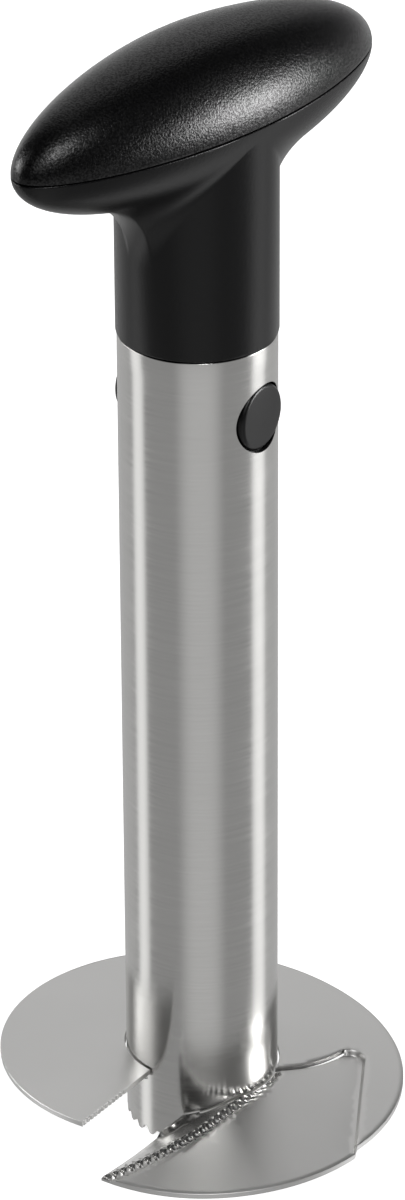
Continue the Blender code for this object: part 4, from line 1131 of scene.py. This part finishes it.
def spring_rings():
    """Rings of the wire, closed to a rounded point at both ends."""
    count = SPRING_TURNS * SPRING_STEPS
    points = [spring_point(i / count) for i in range(count + 1)]
    rings = [[tuple(points[0])]]
    for i, point in enumerate(points):
        way = (points[min(i + 1, count)] - points[max(i - 1, 0)]).normalized()
        out = Vector((point.x, point.y, 0)).normalized()
        across = way.cross(out).normalized()
        out = across.cross(way)
        ring = []
        for side in range(SPRING_SIDES):
            angle = 2 * math.pi * side / SPRING_SIDES
            spot = point + (out * math.cos(angle) + across * math.sin(angle)) * SPRING_WIRE_RADIUS
            ring.append(tuple(spot))
        rings.append(ring)
    return rings + [[tuple(points[-1])]]


def make_spring(side, name, materials):
    rings = along_x(spring_rings(), side, BUTTON_LEVEL)
    spring = mesh_piece(f"coil_spring_{name}", *loft(rings, poles=True), materials, "slicer",
                        "fastener_steel")
    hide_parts(f"button_spring_{name}")
    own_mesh(spring)


# Materials

class Nodes:
    """Adds and joins shader nodes."""

    def __init__(self, tree):
        self.tree = tree
        tree.nodes.clear()

    def add(self, kind, settings=None, **inputs):
        node = self.tree.nodes.new(kind)
        for name, value in (settings or {}).items():
            setattr(node, name, value)
        for name, value in inputs.items():
            self.feed(node.inputs[name.replace("_", " ")], value)
        return node

    def feed(self, socket, value):
        if isinstance(value, bpy.types.NodeSocket):
            self.tree.links.new(value, socket)
        else:
            socket.default_value = value

    def math(self, operation, first, second=0.0):
        node = self.tree.nodes.new("ShaderNodeMath")
        node.operation = operation
        self.feed(node.inputs[0], first)
        self.feed(node.inputs[1], second)
        return node.outputs[0]

    def product(self, first, *others):
        for value in others:
            first = self.math("MULTIPLY", first, value)
        return first

    def remap(self, value, low, high, start=0.0, end=1.0):
        """Maps low..high smoothly to start..end."""
        node = self.tree.nodes.new("ShaderNodeMapRange")
        node.interpolation_type = "SMOOTHSTEP"
        for place, number in zip(range(5), (value, low, high, start, end)):
            self.feed(node.inputs[place], number)
        return node.outputs[0]

    def noise(self, vector, scale, stretch=(1, 1, 1), detail=2.0):
        """A noise value from 0 to 1 at a number of waves per metre. A larger stretch packs them closer."""
        mapping = self.add("ShaderNodeMapping", Vector=vector, Scale=[scale * s for s in stretch])
        texture = self.add("ShaderNodeTexNoise", Vector=mapping.outputs[0], Scale=1.0, Detail=detail)
        return texture.outputs[0]

    def shade(self, value, dark, light):
        """A grey between two levels."""
        mix = self.tree.nodes.new("ShaderNodeMix")
        mix.data_type = "RGBA"
        self.feed(mix.inputs[0], value)
        self.feed(mix.inputs[6], (*dark, 1))
        self.feed(mix.inputs[7], (*light, 1))
        return mix.outputs[2]


def new_material(name):
    material = bpy.data.materials.new(name)
    material.use_nodes = True
    return material, Nodes(material.node_tree)


def brushed_steel(name, waves, stretch, color, spread, roughness, bump=0.0):
    """Steel whose fine scratches run along the axes with the smaller stretch."""
    material, nodes = new_material(name)
    place = nodes.add("ShaderNodeTexCoord").outputs["Object"]
    scratches = nodes.noise(place, waves, stretch, NOISE_DETAIL)
    patches = nodes.noise(place, STEEL_PATCH_WAVES)
    level = nodes.math("ADD", nodes.product(scratches, STEEL_SCRATCH_SHARE),
                       nodes.product(patches, 1 - STEEL_SCRATCH_SHARE))
    dark = [channel * (1 - spread) for channel in color]
    light = [min(channel * (1 + spread), 1) for channel in color]
    rough = nodes.remap(level, *NOISE_RANGE, *roughness)
    shader = nodes.add("ShaderNodeBsdfPrincipled", Base_Color=nodes.shade(level, dark, light),
                       Metallic=1.0, Roughness=rough)
    if bump:
        relief = nodes.add("ShaderNodeBump", Height=scratches, Strength=bump, Distance=STEEL_RELIEF)
        nodes.feed(shader.inputs["Normal"], relief.outputs[0])
    nodes.add("ShaderNodeOutputMaterial", Surface=shader.outputs[0])
    return material, nodes, shader


def tube_steel():
    """Scratches run round the tube, so its highlights are smeared along it."""
    material, nodes, shader = brushed_steel("tube_steel_brushed", TUBE_SCRATCH_WAVES, TUBE_SCRATCH_STRETCH,
                                            TUBE_STEEL_COLOR, TUBE_STEEL_SPREAD, TUBE_STEEL_ROUGHNESS,
                                            TUBE_STEEL_BUMP)
    tangent = nodes.add("ShaderNodeTangent", {"direction_type": "RADIAL", "axis": "Z"})
    nodes.feed(shader.inputs["Tangent"], tangent.outputs[0])
    nodes.feed(shader.inputs["Anisotropic"], TUBE_STEEL_ANISOTROPY)
    nodes.feed(shader.inputs["Anisotropic Rotation"], TUBE_STEEL_ANISOTROPY_TURN)
    return material


def plastic(name, color, roughness, grain_waves, grain_depth, specular, speckle=0.0):
    """Black plastic from a spark-eroded mould, whose gloss varies by the share speckle."""
    material, nodes = new_material(name)
    place = nodes.add("ShaderNodeTexCoord").outputs["Object"]
    grain = nodes.noise(place, grain_waves, detail=NOISE_DETAIL)
    clouds = nodes.noise(place, PLASTIC_CLOUD_WAVES, detail=1.0)
    relief = nodes.add("ShaderNodeBump", Height=grain, Strength=1.0, Distance=grain_depth)
    light = [channel * (1 + PLASTIC_CLOUD_SPREAD) for channel in color]
    gloss = specular
    if speckle > 0:
        gloss = nodes.remap(grain, *GLOSS_NOISE_RANGE, specular * (1 - speckle), specular * (1 + speckle))
    rough = nodes.remap(grain, *NOISE_RANGE, roughness * (1 - PLASTIC_ROUGHNESS_SPREAD),
                        roughness * (1 + PLASTIC_ROUGHNESS_SPREAD))
    shader = nodes.add("ShaderNodeBsdfPrincipled", Base_Color=nodes.shade(clouds, color, light),
                       Roughness=rough, Specular_IOR_Level=gloss, Normal=relief.outputs[0])
    nodes.add("ShaderNodeOutputMaterial", Surface=shader.outputs[0])
    return material


# Studio

def facing(nodes, across, along, azimuth):
    """How far a level direction points towards an azimuth, from -1 to 1."""
    x, y = math.cos(math.radians(azimuth)), math.sin(math.radians(azimuth))
    return nodes.math("ADD", nodes.product(across, x), nodes.product(along, y))


def softbox(nodes, level_x, level_y, height, box):
    """Brightness of a soft-edged lit panel in the surroundings, seen in one direction."""
    azimuth, half_width, blur, low, high, light = box
    towards = facing(nodes, level_x, level_y, azimuth)
    inner = math.cos(math.radians(max(half_width - blur, 0)))
    outer = math.cos(math.radians(half_width + blur))
    edge = math.sin(math.radians(PANEL_END_BLUR_DEG))
    low, high = math.sin(math.radians(low)), math.sin(math.radians(high))
    above = nodes.remap(height, low - edge, low + edge)
    below = nodes.remap(height, high - edge, high + edge, 1.0, 0.0)
    return nodes.product(nodes.remap(towards, outer, inner), above, below, light)


def sees_background(nodes):
    """1 for rays that show the white background: from the camera, or through something clear."""
    rays = nodes.add("ShaderNodeLightPath").outputs
    return nodes.math("MAXIMUM", rays["Is Camera Ray"], rays["Is Transmission Ray"])


def make_world():
    world = bpy.data.worlds.new("studio")
    bpy.context.scene.world = world
    world.use_nodes = True
    nodes = Nodes(world.node_tree)
    way = nodes.add("ShaderNodeTexCoord").outputs["Generated"]
    parts = nodes.add("ShaderNodeSeparateXYZ", Vector=way)
    x, y, height = parts.outputs
    flat = nodes.math("SQRT", nodes.math("ADD", nodes.product(x, x), nodes.product(y, y)))
    flat = nodes.math("MAXIMUM", flat, LEAST_LEVEL_LENGTH)
    level_x, level_y = nodes.math("DIVIDE", x, flat), nodes.math("DIVIDE", y, flat)
    edge = math.sin(math.radians(PANEL_END_BLUR_DEG))
    light = nodes.remap(height, -edge, edge, WORLD_DIM + WORLD_LOW, WORLD_DIM)
    for box in PANELS:
        light = nodes.math("ADD", light, softbox(nodes, level_x, level_y, height, box))
    seen = sees_background(nodes)
    unseen = nodes.math("SUBTRACT", 1.0, seen)
    strength = nodes.math("ADD", seen, nodes.product(light, unseen))
    shader = nodes.add("ShaderNodeBackground", Color=(1, 1, 1, 1), Strength=strength)
    nodes.add("ShaderNodeOutputWorld", Surface=shader.outputs[0])


def make_floor():
    """A pale floor that takes the shadow. It isn't mirrored in the steel, which shows the studio."""
    mesh = bpy.data.meshes.new("floor")
    half = FLOOR_HALF_SIZE
    corners = [(-half, -half, -FLOOR_GAP), (half, -half, -FLOOR_GAP), (half, half, -FLOOR_GAP),
               (-half, half, -FLOOR_GAP)]
    mesh.from_pydata(corners, [], [(0, 1, 2, 3)])
    floor = bpy.data.objects.new("floor", mesh)
    bpy.context.scene.collection.objects.link(floor)
    material, nodes = new_material("floor_paper")
    diffuse = nodes.add("ShaderNodeBsdfDiffuse", Color=(*FLOOR_COLOR, 1))
    seen = sees_background(nodes)
    glow = nodes.add("ShaderNodeEmission", Color=(1, 1, 1, 1),
                     Strength=nodes.product(seen, FLOOR_GLOW))
    both = nodes.tree.nodes.new("ShaderNodeAddShader")
    nodes.feed(both.inputs[0], diffuse.outputs[0])
    nodes.feed(both.inputs[1], glow.outputs[0])
    nodes.add("ShaderNodeOutputMaterial", Surface=both.outputs[0])
    mesh.materials.append(material)
    floor.visible_glossy = False


def add_lamp(name, azimuth, elevation, distance, size, power):
    """An area lamp that faces the middle of the slicer."""
    data = bpy.data.lights.new(name, "AREA")
    data.shape = "RECTANGLE"
    data.size, data.size_y = size
    data.energy = power
    lamp = bpy.data.objects.new(name, data)
    across, up = math.radians(azimuth), math.radians(elevation)
    way = Vector((math.cos(across) * math.cos(up), math.sin(across) * math.cos(up), math.sin(up)))
    middle = Vector((0, 0, SEAM_LEVEL / 2))
    lamp.location = middle + way * distance
    lamp.rotation_euler = way.to_track_quat("Z", "Y").to_euler()
    bpy.context.scene.collection.objects.link(lamp)


# Camera, fitted to the photo

def make_camera():
    across = Vector((1, 0, 0))
    ahead = Vector((0, math.cos(CAMERA_PITCH), -math.sin(CAMERA_PITCH)))
    up = Vector((0, math.sin(CAMERA_PITCH), math.cos(CAMERA_PITCH)))
    turned_ahead = ahead * math.cos(CAMERA_YAW) + across * math.sin(CAMERA_YAW)
    turned_across = across * math.cos(CAMERA_YAW) - ahead * math.sin(CAMERA_YAW)
    rolled_across = turned_across * math.cos(CAMERA_ROLL) + up * math.sin(CAMERA_ROLL)
    rolled_up = up * math.cos(CAMERA_ROLL) - turned_across * math.sin(CAMERA_ROLL)
    rotation = Matrix((rolled_across, rolled_up, -turned_ahead)).transposed()
    orbit = Matrix.Rotation(math.radians(CAMERA_ORBIT_DEG), 3, "Z")
    data = bpy.data.cameras.new("photo_camera")
    data.sensor_fit = "VERTICAL"
    data.sensor_height = CAMERA_SENSOR
    data.lens = CAMERA_FOCAL_SHARE * CAMERA_SENSOR
    camera = bpy.data.objects.new("photo_camera", data)
    bpy.context.scene.collection.objects.link(camera)
    place = orbit @ Vector((0, -CAMERA_DISTANCE, CAMERA_HEIGHT))
    camera.matrix_world = Matrix.Translation(place) @ (orbit @ rotation).to_4x4()
    bpy.context.scene.camera = camera


# Scene

def dress(node, material):
    """Gives a carried-over CAD node a procedural material."""
    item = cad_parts[node]
    item.data.materials.clear()
    item.data.materials.append(material)


def main():
    steel = tube_steel()
    satin = brushed_steel("blade_steel_satin", BLADE_SCRATCH_WAVES, BLADE_SCRATCH_STRETCH,
                          BLADE_STEEL_COLOR, BLADE_STEEL_SPREAD, BLADE_STEEL_ROUGHNESS)[0]
    ground = brushed_steel("blade_steel_ground", BLADE_SCRATCH_WAVES, GROUND_SCRATCH_STRETCH,
                           BLADE_STEEL_COLOR, GROUND_STEEL_SPREAD, GROUND_STEEL_ROUGHNESS)[0]
    # Rough shear-cut steel, darkened as painted shade in the slit's gap.
    sheared_painted_shade = brushed_steel("blade_steel_sheared_painted_shade", BLADE_SCRATCH_WAVES, EVEN_STRETCH, SLIT_PAINTED_SHADE_COLOR,
                            SHEARED_STEEL_SPREAD, SHEARED_STEEL_ROUGHNESS, SHEARED_STEEL_BUMP)[0]
    fasteners = brushed_steel("fastener_steel_plated", FASTENER_WAVES, EVEN_STRETCH, FASTENER_COLOR,
                              FASTENER_SPREAD, FASTENER_ROUGHNESS, FASTENER_BUMP)[0]
    grained = plastic("handle_plastic_grained", HANDLE_COLOR, HANDLE_ROUGHNESS, HANDLE_GRAIN_WAVES,
                      HANDLE_GRAIN_DEPTH, HANDLE_SPECULAR, HANDLE_SPECKLE)
    neck_black = plastic("neck_plastic_grained", HANDLE_COLOR, HANDLE_ROUGHNESS, HANDLE_GRAIN_WAVES,
                         NECK_GRAIN_DEPTH, NECK_SPECULAR)
    button_black = plastic("button_plastic_smooth", BUTTON_COLOR, BUTTON_ROUGHNESS, BUTTON_GRAIN_WAVES,
                           BUTTON_GRAIN_DEPTH, HANDLE_SPECULAR)
    plug_black = plastic("plug_plastic_moulded", PLUG_COLOR, PLUG_ROUGHNESS, HANDLE_GRAIN_WAVES,
                         PLUG_GRAIN_DEPTH, HANDLE_SPECULAR)
    make_tube([steel])
    make_blade([satin, ground, sheared_painted_shade])
    make_beads([satin])
    make_handle_base([neck_black])
    make_handle_cover([grained])
    for side, name in ((1, "front"), (-1, "back")):
        make_button(side, name, [button_black])
        make_spring(side, name, [fasteners])
    for node in ("plug_body", "plug_cap"):
        dress(node, plug_black)
    for node in ("cover_screw_left", "cover_screw_right", "handle_screw"):
        dress(node, fasteners)
    make_world()
    make_floor()
    for lamp in LAMPS:
        add_lamp(*lamp)
    make_camera()
    bpy.context.scene.view_settings.view_transform = "Standard"


main()
